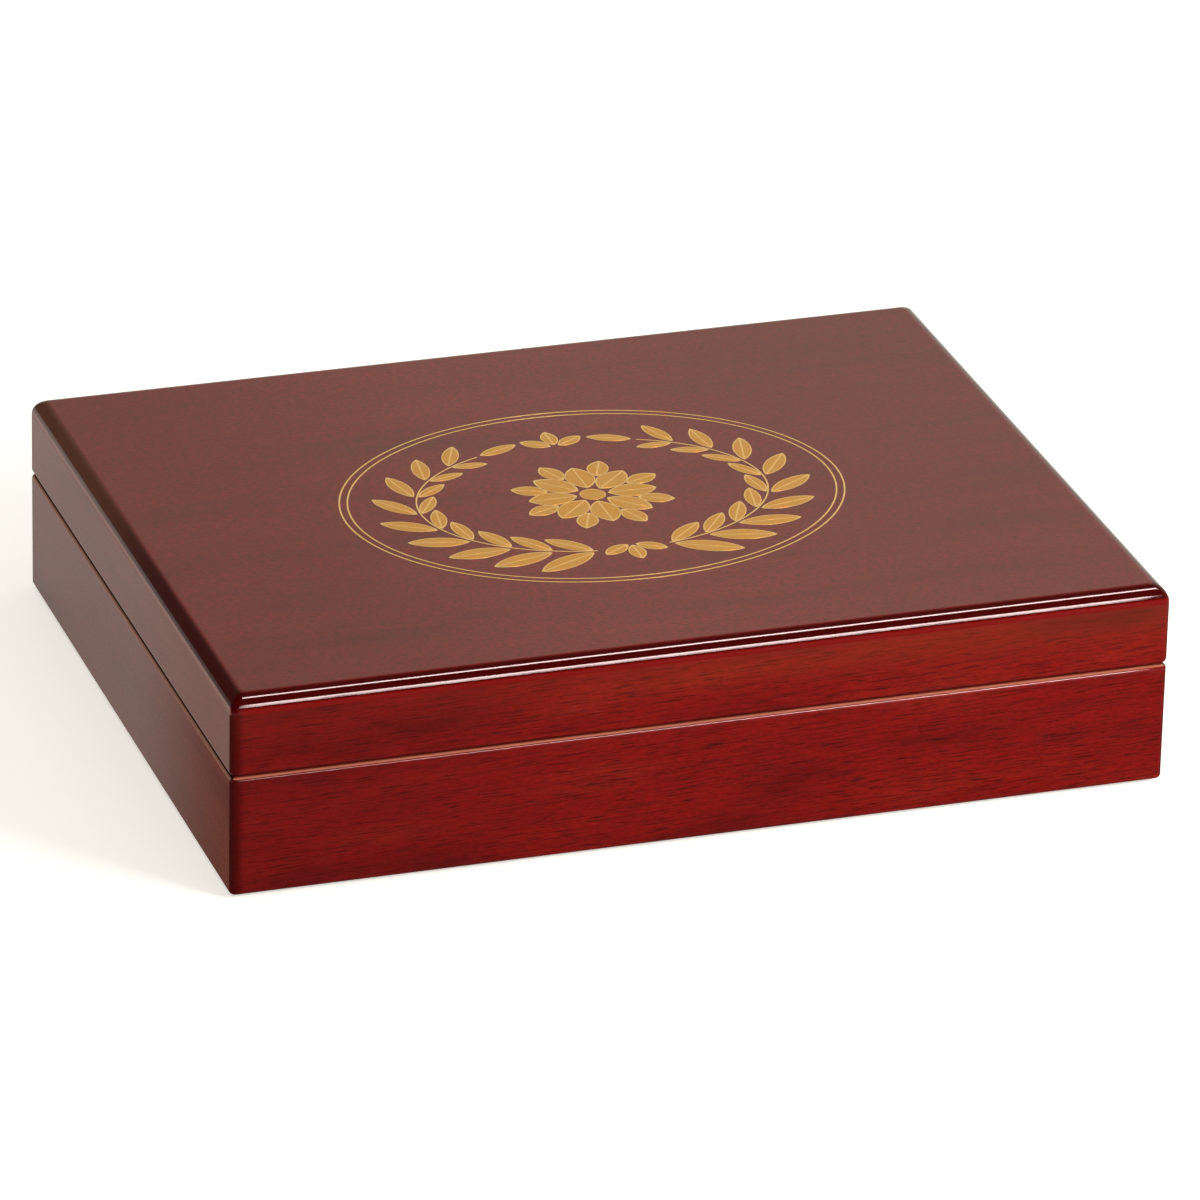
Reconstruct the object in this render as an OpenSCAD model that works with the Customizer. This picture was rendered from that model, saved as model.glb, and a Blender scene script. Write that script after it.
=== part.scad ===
// Flat desktop humidor: a lacquered rosewood case in two mitred frames, lined with cedar,
// hung on brass quadrant hinges, with a hygrometer and a humidifier under the lid.
// Millimetres. The origin is the middle of the felt's underside, +Z is up and -Y is the front.

/* [Case] */
// Outside width of the case
box_w = 260; // [230:1:320]
// Outside depth of the case, front to back
box_d = 203; // [180:1:240]
// Thickness of the case walls
wall = 10; // [9.6:0.1:14]
// Height of the base's wooden walls
base_h = 33.8; // [28:0.2:60]
// Height of the lid, top panel included
lid_h = 22.3; // [21.8:0.1:40]
// Gap between the rims of base and lid
seam_gap = 0.6; // [0.4:0.1:1]
// Thickness of the felt under the base
felt_t = 1; // [0.6:0.1:2]
// How far the felt stays in from the outside faces
felt_inset = 4; // [2:0.5:10]

/* [Edges] */
// Radius of the upright corners
corner_r = 1.8; // [0.8:0.1:3.5]
// Radius of the round-over along the lid's top edge
top_r = 4.6; // [1.5:0.1:4.6]
// Radius along both rims at the seam
seam_r = 1.2; // [0.5:0.1:2]
// Radius along the bottom edge
foot_r = 1.2; // [0.5:0.1:2.5]

/* [Panels] */
// Thickness of the top panel where it covers the walls
top_cover_t = 4.8; // [4.7:0.1:6]
// Depth of the top panel's plug inside the walls
top_plug_t = 2.2; // [2.2:0.1:5]
// Thickness of the bottom panel
bottom_t = 5; // [3:0.1:8]
// Width of the rebate that holds the bottom panel
bottom_rebate = 5; // [2:0.1:6]
// Glue gap round a panel or a lining
panel_fit = 0.1; // [0.05:0.01:0.3]

/* [Cedar lining] */
// Thickness of the upright cedar linings
cedar_t = 3.5; // [2.5:0.1:5]
// Thickness of the cedar floor
cedar_floor_t = 3; // [2:0.1:5]
// Thickness of the cedar ceiling in the lid
cedar_ceiling_t = 2.5; // [2:0.1:4]
// Height of the cedar lip above the base's rim
lip_h = 5; // [3:0.1:7]
// Running gap between the lip and the lid
lip_clear = 0.4; // [0.2:0.05:0.8]
// Bevel on the lip's outer top edge
lip_bevel = 1; // [0.4:0.1:1.5]

/* [Quadrant hinges] */
// Thickness of a hinge leaf
leaf_t = 1.6; // [1.2:0.1:2]
// Width of a leaf's arms
leaf_w = 6.4; // [5.4:0.1:6.6]
// How far the leaves stay in from the outside faces
leaf_inset = 2.8; // [2.8:0.05:3]
// Reach of the arm along the back
back_arm = 34; // [32:0.5:45]
// Reach of the arm along the side
side_arm = 31; // [29:0.5:45]
// Gap round a leaf in its recess
leaf_fit = 0.15; // [0.05:0.05:0.3]
// Outside radius of the hinge barrel
barrel_r = 2.4; // [2.2:0.05:2.5]
// Where the barrel starts, from the outside of the case
barrel_start = 9; // [8:0.5:12]
// Length of one of the three knuckles
knuckle_l = 6; // [4:0.5:6.5]
// Gap between neighbouring knuckles
knuckle_gap = 0.2; // [0.1:0.05:0.4]
// Radius of the hinge pin
pin_r = 1; // [0.8:0.05:1.2]
// Running clearance round the pin
pin_clear = 0.05; // [0.03:0.01:0.1]
// Radius of the curved stay at its middle line
stay_r = 16; // [15:0.1:16.4]
// Width of the stay's stop heads, along its radius
stay_w = 3; // [2.4:0.1:3.4]
// Thickness of the stay
stay_t = 1.8; // [1.2:0.1:2.2]
// Thickness of the stop head at each end of the stay
stay_head_t = 3.6; // [3:0.1:4]
// Gap round the stay in its slots and pockets
stay_clear = 0.4; // [0.3:0.05:0.6]
// Angle at which the stays stop the lid
open_angle = 95; // [80:1:96]
// Radius of a screw's shank
screw_r = 1.1; // [0.8:0.05:1.3]
// Radius of a screw's countersunk head
screw_head_r = 2.2; // [1.8:0.05:2.4]
// Length of a screw
screw_l = 9; // [6:0.5:12]

/* [Hygrometer] */
// Gap between the bezel and the right lining
gauge_gap = 26.4; // [16:0.2:36]
// Radius of the brass bezel
bezel_r = 22; // [19:0.5:26]
// Height of the bezel below the ceiling
bezel_h = 3.2; // [2.8:0.1:5]
// Width of the bezel's ring
bezel_ring = 4.6; // [3.6:0.1:6]
// Depth of the case in the ceiling
gauge_depth = 4.6; // [4.2:0.1:4.8]
// Wall of the gauge's case
gauge_wall = 0.8; // [0.5:0.1:1.2]
// Thickness of the glass
glass_t = 1.1; // [0.8:0.1:1.6]
// Thickness of the dial
dial_t = 0.5; // [0.3:0.1:0.8]
// Turns of the moisture-sensing coil
coil_turns = 4; // [3:1:6]
// Reading of the needle at rest, in per cent of relative humidity
needle_reading = 70; // [0:1:100]

/* [Humidifier] */
// Gap between the humidifier and the left lining
tray_gap = 24.4; // [8:0.2:40]
// Length of the humidifier
tray_l = 92; // [70:1:96]
// Width of the humidifier
tray_w = 44; // [34:1:60]
// Height of the humidifier's tray
tray_h = 8.8; // [7:0.1:9]
// Wall of the tray and of the cover's skirt
tray_wall = 1.4; // [1:0.1:2]
// Thickness of the tray's roof, where the magnets sit
tray_roof = 2.2; // [2:0.1:3]
// Corner radius of the tray
tray_corner = 5; // [3.5:0.5:8]
// Thickness of the slotted cover
cover_t = 1.6; // [1.2:0.1:2.2]
// Number of slots in the cover
slot_count = 13; // [7:1:15]
// Width of a slot
slot_w = 2.6; // [1.6:0.1:3]
// Radius of a magnet
magnet_r = 4; // [3:0.1:5]
// Thickness of a magnet
magnet_t = 1.5; // [1:0.1:1.6]
// Distance between the two magnets
magnet_span = 44; // [30:1:50]
// Thickness of the steel strip on the ceiling
strip_t = 0.8; // [0.5:0.1:1]

/* [Divider] */
// Width of the bay to the right of the divider
bay_w = 76.4; // [50:0.2:100]
// Thickness of the divider
divider_t = 4; // [3:0.1:6]
// How far the divider's top stays below the rim
divider_drop = 1.8; // [1:0.1:6]
// Gap at each end of the divider
divider_clear = 0.4; // [0.2:0.05:0.8]
// Number of air slots in the divider
divider_slots = 3; // [2:1:4]
// Length of an air slot
divider_slot_l = 25; // [12:1:30]
// Height of an air slot
divider_slot_h = 6; // [3:0.5:8]
// Radius of the finger notch in the divider's top edge
notch_r = 6; // [4:0.5:7]

/* [Hidden] */
$fn = 64;

rosewood = [0.42, 0.09, 0.07];
cedar = [0.76, 0.52, 0.35];
brass = [0.83, 0.65, 0.30];
steel = [0.72, 0.72, 0.74];
black_plastic = [0.08, 0.08, 0.09];

// Levels, from the table upwards
base_z = felt_t;
rim_z = base_z + base_h;
lid_z = rim_z + seam_gap;
top_z = lid_z + lid_h;
cover_z = top_z - top_cover_t;
plug_z = cover_z - top_plug_t;
ceiling_z = plug_z - cedar_ceiling_t;
panel_z = base_z + bottom_t;
floor_z = panel_z + cedar_floor_t;
lip_z = rim_z + lip_h;
lid_lining_z = lip_z + lip_clear;

// The opening inside the walls and inside the linings
open_w = box_w - 2 * wall;
open_d = box_d - 2 * wall;
lined_w = open_w - 2 * (panel_fit + cedar_t);
lined_d = open_d - 2 * (panel_fit + cedar_t);

// Hinge line, at the back face and the middle of the seam
hinge_y = box_d / 2;
hinge_z = rim_z + seam_gap / 2;
barrel_l = 3 * knuckle_l;
barrel_clear = 0.25;
leaf_mid = leaf_inset + leaf_w / 2;
// The stay reaches from one leaf to the other when open, past each leaf by its stop head
head_angle = 7;
leaf_angle = asin((leaf_t + seam_gap / 2) / (stay_r - stay_w / 2));
stop_play = 0.8;
stay_shoulder = 0.2;
stay_half = open_angle / 2 + leaf_angle + stop_play + head_angle;
pocket_near = (stay_r - stay_w / 2) * cos(stay_half) - stay_clear;
pocket_far = stay_r + stay_w / 2 + stay_clear;
pocket_deep = (stay_r + stay_w / 2) * sin(min(stay_half, 90)) + stay_clear;

screw_head_h = screw_head_r - screw_r;
screw_fit = 0.06;
slot_cut = 0.5;

// Sideways places of the hygrometer, the humidifier and the divider
gauge_x = lined_w / 2 - gauge_gap - bezel_r;
tray_x = tray_gap + (tray_l - lined_w) / 2;
divider_x = lined_w / 2 - bay_w - divider_t / 2;

// Hygrometer radii, from the bezel inwards
flange_t = gauge_wall;
glass_seat = 0.9;
glass_r = bezel_r - bezel_ring + glass_seat;
gauge_r = bezel_r - bezel_ring + 1;
gauge_in_r = gauge_r - gauge_wall;
ledge_w = 1;
gauge_fit = 0.1;
dial_z = 1.2;
arbor_r = 0.5;
arbor_clear = 0.06;
needle_z = 0.3;
needle_t = 0.3;
needle_margin = 3.4;
needle_l = gauge_in_r - needle_margin;
needle_tail = 5;
needle_tip_w = 0.3;
needle_root_w = 1;
needle_tail_w = 1.4;
needle_hub_r = 1.6;
// The scale runs clockwise over 270 degrees with 50 at the top, as seen with the lid open
scale_sweep = 270;
needle_turn = 180 + scale_sweep * (needle_reading - 50) / 100;
needle_hub_t = 0.5;
coil_t = 0.25;
coil_h = 1.2;
coil_gap = 0.3;
coil_in_r = arbor_r + coil_gap;
post_r = 0.7;
post_seat = 0.4;
post_x = gauge_in_r - ledge_w - 2 * post_r;
coil_out_r = post_x - post_r - coil_gap - coil_t;
coil_z = gauge_depth - gauge_wall - coil_h - coil_gap;
coil_steps = 20;

cover_z0 = ceiling_z - strip_t - tray_h - cover_t;
tray_z = cover_z0 + cover_t;
skirt_h = 2;
foam_gap = 0.3;
strip_w = 12;
strip_corner = 2;
strip_l = magnet_span + 4 * magnet_r;

divider_z = rim_z - divider_drop;
divider_l = lined_d - 2 * divider_clear;
divider_corner = 1.5;

over = 1;

// Outlines

// What a rounded corner takes away, for a corner at the origin with its material in +X, +Y
module corner_waste(r) {
    difference() {
        translate([-over, -over]) square(r + over);
        translate([r, r]) circle(r);
    }
}

// Rectangle round the origin with four round corners
module rounded_rect(w, d, r) {
    difference() {
        square([w, d], center = true);
        if (r > 0) for (sx = [0, 1], sy = [0, 1])
            mirror([sx, 0]) mirror([0, sy]) translate([-w / 2, -d / 2]) corner_waste(r);
    }
}

// Slot with round ends along X
module round_slot(l, w) {
    square([l - w, w], center = true);
    for (s = [-1, 1]) translate([s * (l - w) / 2, 0]) circle(w / 2);
}

// Mitred frames

// The front side of a frame of outer size w by d, from z0 to z1, with a mitre at both ends. The child is
// the section of what is cut away: X runs in from the outer face and Y is the height. At a corner of
// radius r the cut turns with the corner.
module frame_side(w, d, thick, r, z0, z1) {
    straight = r > 0 ? w - 2 * r : w + 2 * over;
    difference() {
        translate([0, 0, z0]) linear_extrude(z1 - z0) intersection() {
            polygon([
                [-w / 2, -d / 2], [w / 2, -d / 2],
                [w / 2 - thick, thick - d / 2], [thick - w / 2, thick - d / 2]
            ]);
            rounded_rect(w, d, r);
        }
        translate([-straight / 2, -d / 2, 0]) rotate([90, 0, 90]) linear_extrude(straight) children();
        if (r > 0) for (s = [0, 1]) mirror([s, 0, 0]) translate([r - w / 2, r - d / 2, 0])
            rotate(180) rotate_extrude(angle = 90) intersection() {
                translate([r, 0]) mirror([1, 0]) children();
                square([r + over, top_z]);
            }
    }
}

// A frame's side turned to its place: 0 front, 1 right, 2 back, 3 left
module placed_side(turn, w, d, thick, r, z0, z1) {
    swapped = turn % 2 == 1;
    rotate([0, 0, 90 * turn])
        frame_side(swapped ? d : w, swapped ? w : d, thick, r, z0, z1) children();
}

// Cut away from a base board: the bottom panel's rebate and the rounded edges at foot and rim
module base_board_waste() {
    translate([wall - bottom_rebate, base_z - over]) square([bottom_rebate + over, bottom_t + over]);
    translate([0, base_z]) corner_waste(foot_r);
    translate([0, rim_z]) mirror([0, 1]) corner_waste(seam_r);
}

module lid_rail_waste() { translate([0, lid_z]) corner_waste(seam_r); }

// The lining stands proud of the base's rim as a bevelled lip, set back to run inside the lid
module lip_waste() {
    polygon([
        [-over, rim_z - lip_clear], [lip_clear, rim_z - lip_clear], [lip_clear, lip_z - lip_bevel],
        [lip_clear + lip_bevel, lip_z], [lip_clear + lip_bevel, lip_z + over], [-over, lip_z + over]
    ]);
}

module base_board(turn) {
    color(rosewood) placed_side(turn, box_w, box_d, wall, corner_r, base_z, rim_z) base_board_waste();
}

module lid_rail(turn) {
    color(rosewood) placed_side(turn, box_w, box_d, wall, corner_r, lid_z, cover_z) lid_rail_waste();
}

module lining_side(turn, z0, z1) {
    placed_side(turn, open_w - 2 * panel_fit, open_d - 2 * panel_fit, cedar_t, 0, z0, z1) children();
}

// Quadrant hinges, drawn at the back left corner

module hinge_side(right) { mirror([right ? 1 : 0, 0, 0]) children(); }

// A point at a distance in from the left face and from the back face
module from_corner(x, y) { translate([x - box_w / 2, box_d / 2 - y, 0]) children(); }

// L-shaped plan of a leaf with round arm ends
module leaf_plan(grow = 0) {
    w = leaf_w + 2 * grow;
    translate([-box_w / 2, box_d / 2]) {
        translate([leaf_inset - grow, leaf_mid - side_arm])
            square([w, side_arm - leaf_mid - leaf_inset + grow]);
        translate([leaf_inset - grow, -leaf_inset - leaf_w - grow])
            square([back_arm - leaf_mid - leaf_inset + grow, w]);
        translate([leaf_mid, leaf_mid - side_arm]) circle(w / 2);
        translate([back_arm - leaf_mid, -leaf_mid]) circle(w / 2);
    }
}

// Places of a leaf's screws: side arm's end, back arm beside the barrel, back arm's end
module at_screws() {
    from_corner(leaf_mid, side_arm - leaf_mid) children();
    from_corner(back_arm - leaf_mid, leaf_mid) children();
    from_corner(leaf_mid + (back_arm - leaf_mid) / 3, leaf_mid) children();
}

// Cylinder along the hinge line, from x0 to x1 measured in from the left face
module hinge_rod(r, x0, x1) {
    translate([x0 - box_w / 2, hinge_y, hinge_z]) rotate([0, 90, 0]) cylinder(h = x1 - x0, r = r);
}

// Outer ends of a knuckle, 0 to 2 from the corner
function knuckle_x0(i) = barrel_start + i * knuckle_l + (i > 0 ? knuckle_gap / 2 : 0);
function knuckle_x1(i) = barrel_start + (i + 1) * knuckle_l - (i < 2 ? knuckle_gap / 2 : 0);

// A leaf with its knuckles. up is 1 for the lid's leaf and -1 for the base's.
module leaf(up, knuckles) {
    face = up * seam_gap / 2;
    plate_z = hinge_z + (up > 0 ? face : face - leaf_t);
    difference() {
        union() {
            translate([0, 0, plate_z]) linear_extrude(leaf_t) leaf_plan();
            for (i = knuckles) {
                hinge_rod(barrel_r, knuckle_x0(i), knuckle_x1(i));
                translate([knuckle_x0(i) - box_w / 2, hinge_y - leaf_mid, plate_z])
                    cube([knuckle_x1(i) - knuckle_x0(i), leaf_mid, leaf_t]);
            }
        }
        hinge_rod(pin_r + pin_clear, 0, barrel_start + barrel_l + over);
        from_corner(leaf_mid, stay_r) translate([0, 0, plate_z + leaf_t / 2])
            cube([stay_t + 2 * stay_clear, stay_w + 2 * stay_clear, 2 * leaf_t], center = true);
        translate([0, 0, hinge_z + face]) mirror([0, 0, up > 0 ? 1 : 0]) at_screws() screw_hole();
    }
}

// Countersunk hole for a screw that goes down from z = 0
module screw_hole() {
    translate([0, 0, -screw_head_h])
        cylinder(h = screw_head_h + screw_fit, r1 = screw_r + screw_fit, r2 = screw_head_r + 2 * screw_fit);
    translate([0, 0, -leaf_t - over]) cylinder(h = leaf_t + over, r = screw_r + screw_fit);
}

// Countersunk wood screw with its head at z = 0
module screw() {
    tip_l = 2 * screw_r;
    difference() {
        union() {
            translate([0, 0, -screw_head_h]) cylinder(h = screw_head_h, r1 = screw_r, r2 = screw_head_r);
            translate([0, 0, tip_l - screw_l]) cylinder(h = screw_l - tip_l - screw_head_h, r = screw_r);
            translate([0, 0, -screw_l]) cylinder(h = tip_l, r1 = screw_r / 4, r2 = screw_r);
        }
        for (a = [0, 90]) rotate(a)
            cube([1.3 * screw_head_r, slot_cut, 2 * slot_cut], center = true);
    }
}

// Wood cut away for one hinge: the leaf's recess, the barrel, the stay's pocket and the pilot holes
module hinge_waste(up) {
    face = up * seam_gap / 2;
    depth = leaf_t + leaf_fit;
    recess_z = hinge_z + (up > 0 ? 0 : face - depth);
    translate([0, 0, recess_z]) linear_extrude(depth + seam_gap / 2) leaf_plan(leaf_fit);
    hinge_rod(barrel_r + barrel_clear, barrel_start - barrel_clear, barrel_start + barrel_l + barrel_clear);
    translate([barrel_start - barrel_clear - box_w / 2, hinge_y - leaf_mid, recess_z])
        cube([barrel_l + 2 * barrel_clear, leaf_mid + over, depth + seam_gap / 2]);
    from_corner(leaf_mid, (pocket_near + pocket_far) / 2)
        translate([0, 0, hinge_z + up * pocket_deep / 2])
            cube([stay_head_t + 2 * stay_clear, pocket_far - pocket_near, pocket_deep], center = true);
    translate([0, 0, hinge_z + face]) mirror([0, 0, up > 0 ? 1 : 0]) at_screws()
        translate([0, 0, -screw_l - over / 2]) cylinder(h = screw_l + over, r = screw_r + screw_fit);
}

module both_hinge_wastes(up) { for (right = [false, true]) hinge_side(right) hinge_waste(up); }

// Curved bar about the hinge line, thick along X, from angle a0 to a1 above the seam
module stay_bar(a0, a1, wide, thick) {
    translate([leaf_mid - box_w / 2, hinge_y, hinge_z]) rotate([0, 90, 0]) rotate([0, 0, -90 - a1])
        rotate_extrude(angle = a1 - a0) translate([stay_r - wide / 2, -thick / 2]) square([wide, thick]);
}

module stay(right) {
    bar_half = stay_half - head_angle / 2;
    color(brass) hinge_side(right) {
        stay_bar(-bar_half, bar_half, stay_w - 2 * stay_shoulder, stay_t);
        stay_bar(-stay_half, head_angle - stay_half, stay_w, stay_head_t);
        stay_bar(stay_half - head_angle, stay_half, stay_w, stay_head_t);
    }
}

module screw_set(up) {
    color(brass) for (right = [false, true]) hinge_side(right)
        translate([0, 0, hinge_z + up * seam_gap / 2]) mirror([0, 0, up > 0 ? 1 : 0]) at_screws() screw();
}

// Base

module base_front_board() { base_board(0); }

module base_back_board() {
    color(rosewood) difference() {
        base_board(2);
        both_hinge_wastes(-1);
    }
}

module base_left_board() {
    color(rosewood) difference() {
        base_board(3);
        hinge_side(false) hinge_waste(-1);
    }
}

module base_right_board() {
    color(rosewood) difference() {
        base_board(1);
        hinge_side(true) hinge_waste(-1);
    }
}

module base_bottom_panel() {
    color(rosewood) translate([0, 0, base_z]) linear_extrude(bottom_t) square([
        open_w + 2 * (bottom_rebate - panel_fit), open_d + 2 * (bottom_rebate - panel_fit)
    ], center = true);
}

module felt_base() {
    color("darkgreen") linear_extrude(felt_t)
        rounded_rect(box_w - 2 * felt_inset, box_d - 2 * felt_inset, corner_r);
}

module cedar_floor() {
    color(cedar) translate([0, 0, panel_z]) linear_extrude(cedar_floor_t)
        square([open_w - 2 * panel_fit, open_d - 2 * panel_fit], center = true);
}

module base_cedar(turn) { color(cedar) lining_side(turn, floor_z, lip_z) lip_waste(); }

// Loose cedar divider with air slots and a finger notch
module divider() {
    h = divider_z - floor_z;
    pitch = divider_l / divider_slots;
    slot_y = (h - notch_r) / 2;
    color(cedar) translate([divider_x - divider_t / 2, 0, floor_z]) rotate([90, 0, 90])
        linear_extrude(divider_t) difference() {
            translate([0, h / 2]) rounded_rect(divider_l, h, divider_corner);
            for (i = [0 : divider_slots - 1])
                translate([(i - (divider_slots - 1) / 2) * pitch, slot_y])
                    round_slot(divider_slot_l, divider_slot_h);
            translate([0, h]) circle(notch_r);
        }
}

// Lid

// The plug fits inside the walls, and the cover carries the round-over of the top edge
module lid_top_panel() {
    color(rosewood) difference() {
        union() {
            intersection() {
                translate([0, 0, cover_z]) linear_extrude(top_cover_t) rounded_rect(box_w, box_d, corner_r);
                rounded_prism(box_w, box_d);
                rotate(90) rounded_prism(box_d, box_w);
            }
            translate([0, 0, plug_z]) linear_extrude(top_plug_t + over)
                square([open_w - 2 * panel_fit, open_d - 2 * panel_fit], center = true);
        }
        at_gauge() cylinder(h = gauge_depth + gauge_fit, r = gauge_r + gauge_fit);
    }
}

// Prism along Y whose two upper edges are rounded over
module rounded_prism(w, d) {
    translate([0, d / 2, 0]) rotate([90, 0, 0]) linear_extrude(d) difference() {
        translate([-w / 2, cover_z]) square([w, top_cover_t]);
        for (s = [0, 1]) mirror([s, 0]) translate([-w / 2, top_z]) mirror([0, 1]) corner_waste(top_r);
    }
}

module lid_front_rail() { lid_rail(0); }

module lid_back_rail() {
    color(rosewood) difference() {
        lid_rail(2);
        both_hinge_wastes(1);
    }
}

module lid_left_rail() {
    color(rosewood) difference() {
        lid_rail(3);
        hinge_side(false) hinge_waste(1);
    }
}

module lid_right_rail() {
    color(rosewood) difference() {
        lid_rail(1);
        hinge_side(true) hinge_waste(1);
    }
}

module cedar_ceiling() {
    color(cedar) difference() {
        translate([0, 0, ceiling_z]) linear_extrude(cedar_ceiling_t)
            square([open_w - 2 * panel_fit, open_d - 2 * panel_fit], center = true);
        at_gauge() translate([0, 0, -over]) cylinder(h = cedar_ceiling_t + 2 * over, r = gauge_r + gauge_fit);
    }
}

module lid_cedar(turn) { color(cedar) lining_side(turn, lid_lining_z, ceiling_z); }

// Hygrometer: z = 0 is the ceiling, the case goes up into the lid and the dial faces down

module at_gauge() { translate([gauge_x, 0, ceiling_z]) children(); }

module ring(r_out, r_in, z0, z1) {
    translate([0, 0, z0]) difference() {
        cylinder(h = z1 - z0, r = r_out);
        translate([0, 0, -over]) cylinder(h = z1 - z0 + 2 * over, r = r_in);
    }
}

module hygrometer_case() {
    inner_top = gauge_depth - gauge_wall;
    color(brass) at_gauge() {
        difference() {
            translate([0, 0, -flange_t]) cylinder(h = gauge_depth + flange_t, r = gauge_r);
            translate([0, 0, -flange_t - over])
                cylinder(h = flange_t + over + dial_z + dial_t, r = gauge_in_r);
            cylinder(h = inner_top, r = gauge_in_r - ledge_w);
            cylinder(h = inner_top + gauge_wall / 2, r = arbor_r + arbor_clear);
        }
        ring(bezel_r - gauge_wall - gauge_fit, gauge_r - gauge_wall / 2, -flange_t, 0);
        translate([post_x, 0, coil_z]) cylinder(h = inner_top + post_seat - coil_z, r = post_r);
    }
}

// Half-round ring that holds the glass and covers the flange
module hygrometer_bezel() {
    in_r = bezel_r - bezel_ring;
    edge_r = bezel_h / 2;
    color(brass) at_gauge() difference() {
        rotate_extrude() difference() {
            translate([in_r, -bezel_h]) square([bezel_ring, bezel_h]);
            translate([bezel_r, -bezel_h]) mirror([1, 0]) corner_waste(edge_r);
        }
        translate([0, 0, -flange_t - glass_t]) cylinder(h = bezel_h, r = glass_r + gauge_fit);
        translate([0, 0, -flange_t]) cylinder(h = flange_t + over, r = bezel_r - gauge_wall);
    }
}

module hygrometer_glass() {
    color([0.8, 0.9, 0.95, 0.4]) at_gauge() translate([0, 0, -flange_t - glass_t])
        cylinder(h = glass_t, r = glass_r);
}

module hygrometer_dial() {
    color("ivory") at_gauge()
        ring(gauge_in_r - gauge_fit, arbor_r + 3 * arbor_clear, dial_z, dial_z + dial_t);
}

module hygrometer_needle() {
    color("black") at_gauge() rotate(needle_turn) translate([0, 0, needle_z]) {
        cylinder(h = needle_hub_t, r = needle_hub_r);
        linear_extrude(needle_t) polygon([
            [-needle_tail_w / 2, -needle_tail], [needle_tail_w / 2, -needle_tail], [needle_root_w / 2, 0],
            [needle_tip_w / 2, needle_l], [-needle_tip_w / 2, needle_l], [-needle_root_w / 2, 0]
        ]);
        cylinder(h = gauge_depth - gauge_wall - needle_z + gauge_wall / 3, r = arbor_r);
    }
}

// Flat spiral strip behind the dial, from the needle's arbor to the post in the case
module hygrometer_coil() {
    steps = coil_turns * coil_steps;
    pitch = (coil_out_r - coil_in_r) / steps;
    function turned(i) = [cos(360 * i / coil_steps), sin(360 * i / coil_steps)];
    function spiral(i, off) = (coil_in_r + i * pitch + off) * turned(i);
    color(steel) at_gauge() translate([0, 0, coil_z]) linear_extrude(coil_h)
        polygon(concat([for (i = [0 : steps]) spiral(i, 0)], [for (i = [steps : -1 : 0]) spiral(i, coil_t)]));
}

// Humidifier: a tray of foam that hangs on a steel strip by its magnets

module at_tray(z) { translate([tray_x, 0, z]) children(); }

module humidifier_strip() {
    color(steel) at_tray(ceiling_z - strip_t) linear_extrude(strip_t)
        rounded_rect(strip_l, strip_w, strip_corner);
}

module at_magnets() { for (s = [-1, 1]) translate([s * magnet_span / 2, 0, 0]) children(); }

module humidifier_tray() {
    color(black_plastic) at_tray(tray_z) difference() {
        linear_extrude(tray_h) rounded_rect(tray_l, tray_w, tray_corner);
        translate([0, 0, -over]) linear_extrude(tray_h - tray_roof + over)
            rounded_rect(tray_l - 2 * tray_wall, tray_w - 2 * tray_wall, tray_corner - tray_wall);
        translate([0, 0, tray_h - magnet_t]) at_magnets()
            cylinder(h = magnet_t + over, r = magnet_r + panel_fit);
    }
}

module humidifier_cover() {
    skirt_l = tray_l - 2 * (tray_wall + panel_fit);
    skirt_w = tray_w - 2 * (tray_wall + panel_fit);
    skirt_r = tray_corner - tray_wall - panel_fit;
    pitch = (skirt_l - 2 * tray_corner) / (slot_count - 1);
    color(black_plastic) at_tray(cover_z0) {
        linear_extrude(cover_t) difference() {
            rounded_rect(tray_l, tray_w, tray_corner);
            for (i = [0 : slot_count - 1]) translate([(i - (slot_count - 1) / 2) * pitch, 0])
                rotate(90) round_slot(skirt_w - 2 * tray_corner, slot_w);
        }
        translate([0, 0, cover_t]) linear_extrude(skirt_h) difference() {
            rounded_rect(skirt_l, skirt_w, skirt_r);
            rounded_rect(skirt_l - 2 * tray_wall, skirt_w - 2 * tray_wall, skirt_r - tray_wall);
        }
    }
}

module humidifier_foam() {
    gap = 2 * tray_wall + panel_fit + foam_gap;
    color("seagreen") at_tray(cover_z0 + cover_t) linear_extrude(tray_h - tray_roof - foam_gap)
        rounded_rect(tray_l - 2 * gap, tray_w - 2 * gap, tray_corner - gap);
}

module humidifier_magnets() {
    color(steel) at_tray(tray_z + tray_h - magnet_t) at_magnets() cylinder(h = magnet_t, r = magnet_r);
}

base_front_board();
base_back_board();
base_left_board();
base_right_board();
base_bottom_panel();
felt_base();
cedar_floor();
base_cedar(0);  // base_cedar_front
base_cedar(1);  // base_cedar_right
base_cedar(2);  // base_cedar_back
base_cedar(3);  // base_cedar_left
divider();
lid_top_panel();
lid_front_rail();
lid_back_rail();
lid_left_rail();
lid_right_rail();
cedar_ceiling();
lid_cedar(0);  // lid_cedar_front
lid_cedar(1);  // lid_cedar_right
lid_cedar(2);  // lid_cedar_back
lid_cedar(3);  // lid_cedar_left
color(brass) hinge_side(false) leaf(-1, [0, 2]);  // hinge_base_leaf_left
color(brass) hinge_side(true) leaf(-1, [0, 2]);  // hinge_base_leaf_right
color(brass) hinge_side(false) leaf(1, [1]);  // hinge_lid_leaf_left
color(brass) hinge_side(true) leaf(1, [1]);  // hinge_lid_leaf_right
color(steel) hinge_rod(pin_r, barrel_start, barrel_start + barrel_l);  // hinge_pin_left
color(steel) hinge_side(true) hinge_rod(pin_r, barrel_start, barrel_start + barrel_l);  // hinge_pin_right
stay(false);  // hinge_stay_left
stay(true);  // hinge_stay_right
screw_set(-1);  // hinge_base_screws
screw_set(1);  // hinge_lid_screws
hygrometer_case();
hygrometer_bezel();
hygrometer_glass();
hygrometer_dial();
hygrometer_needle();
hygrometer_coil();
humidifier_strip();
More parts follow.
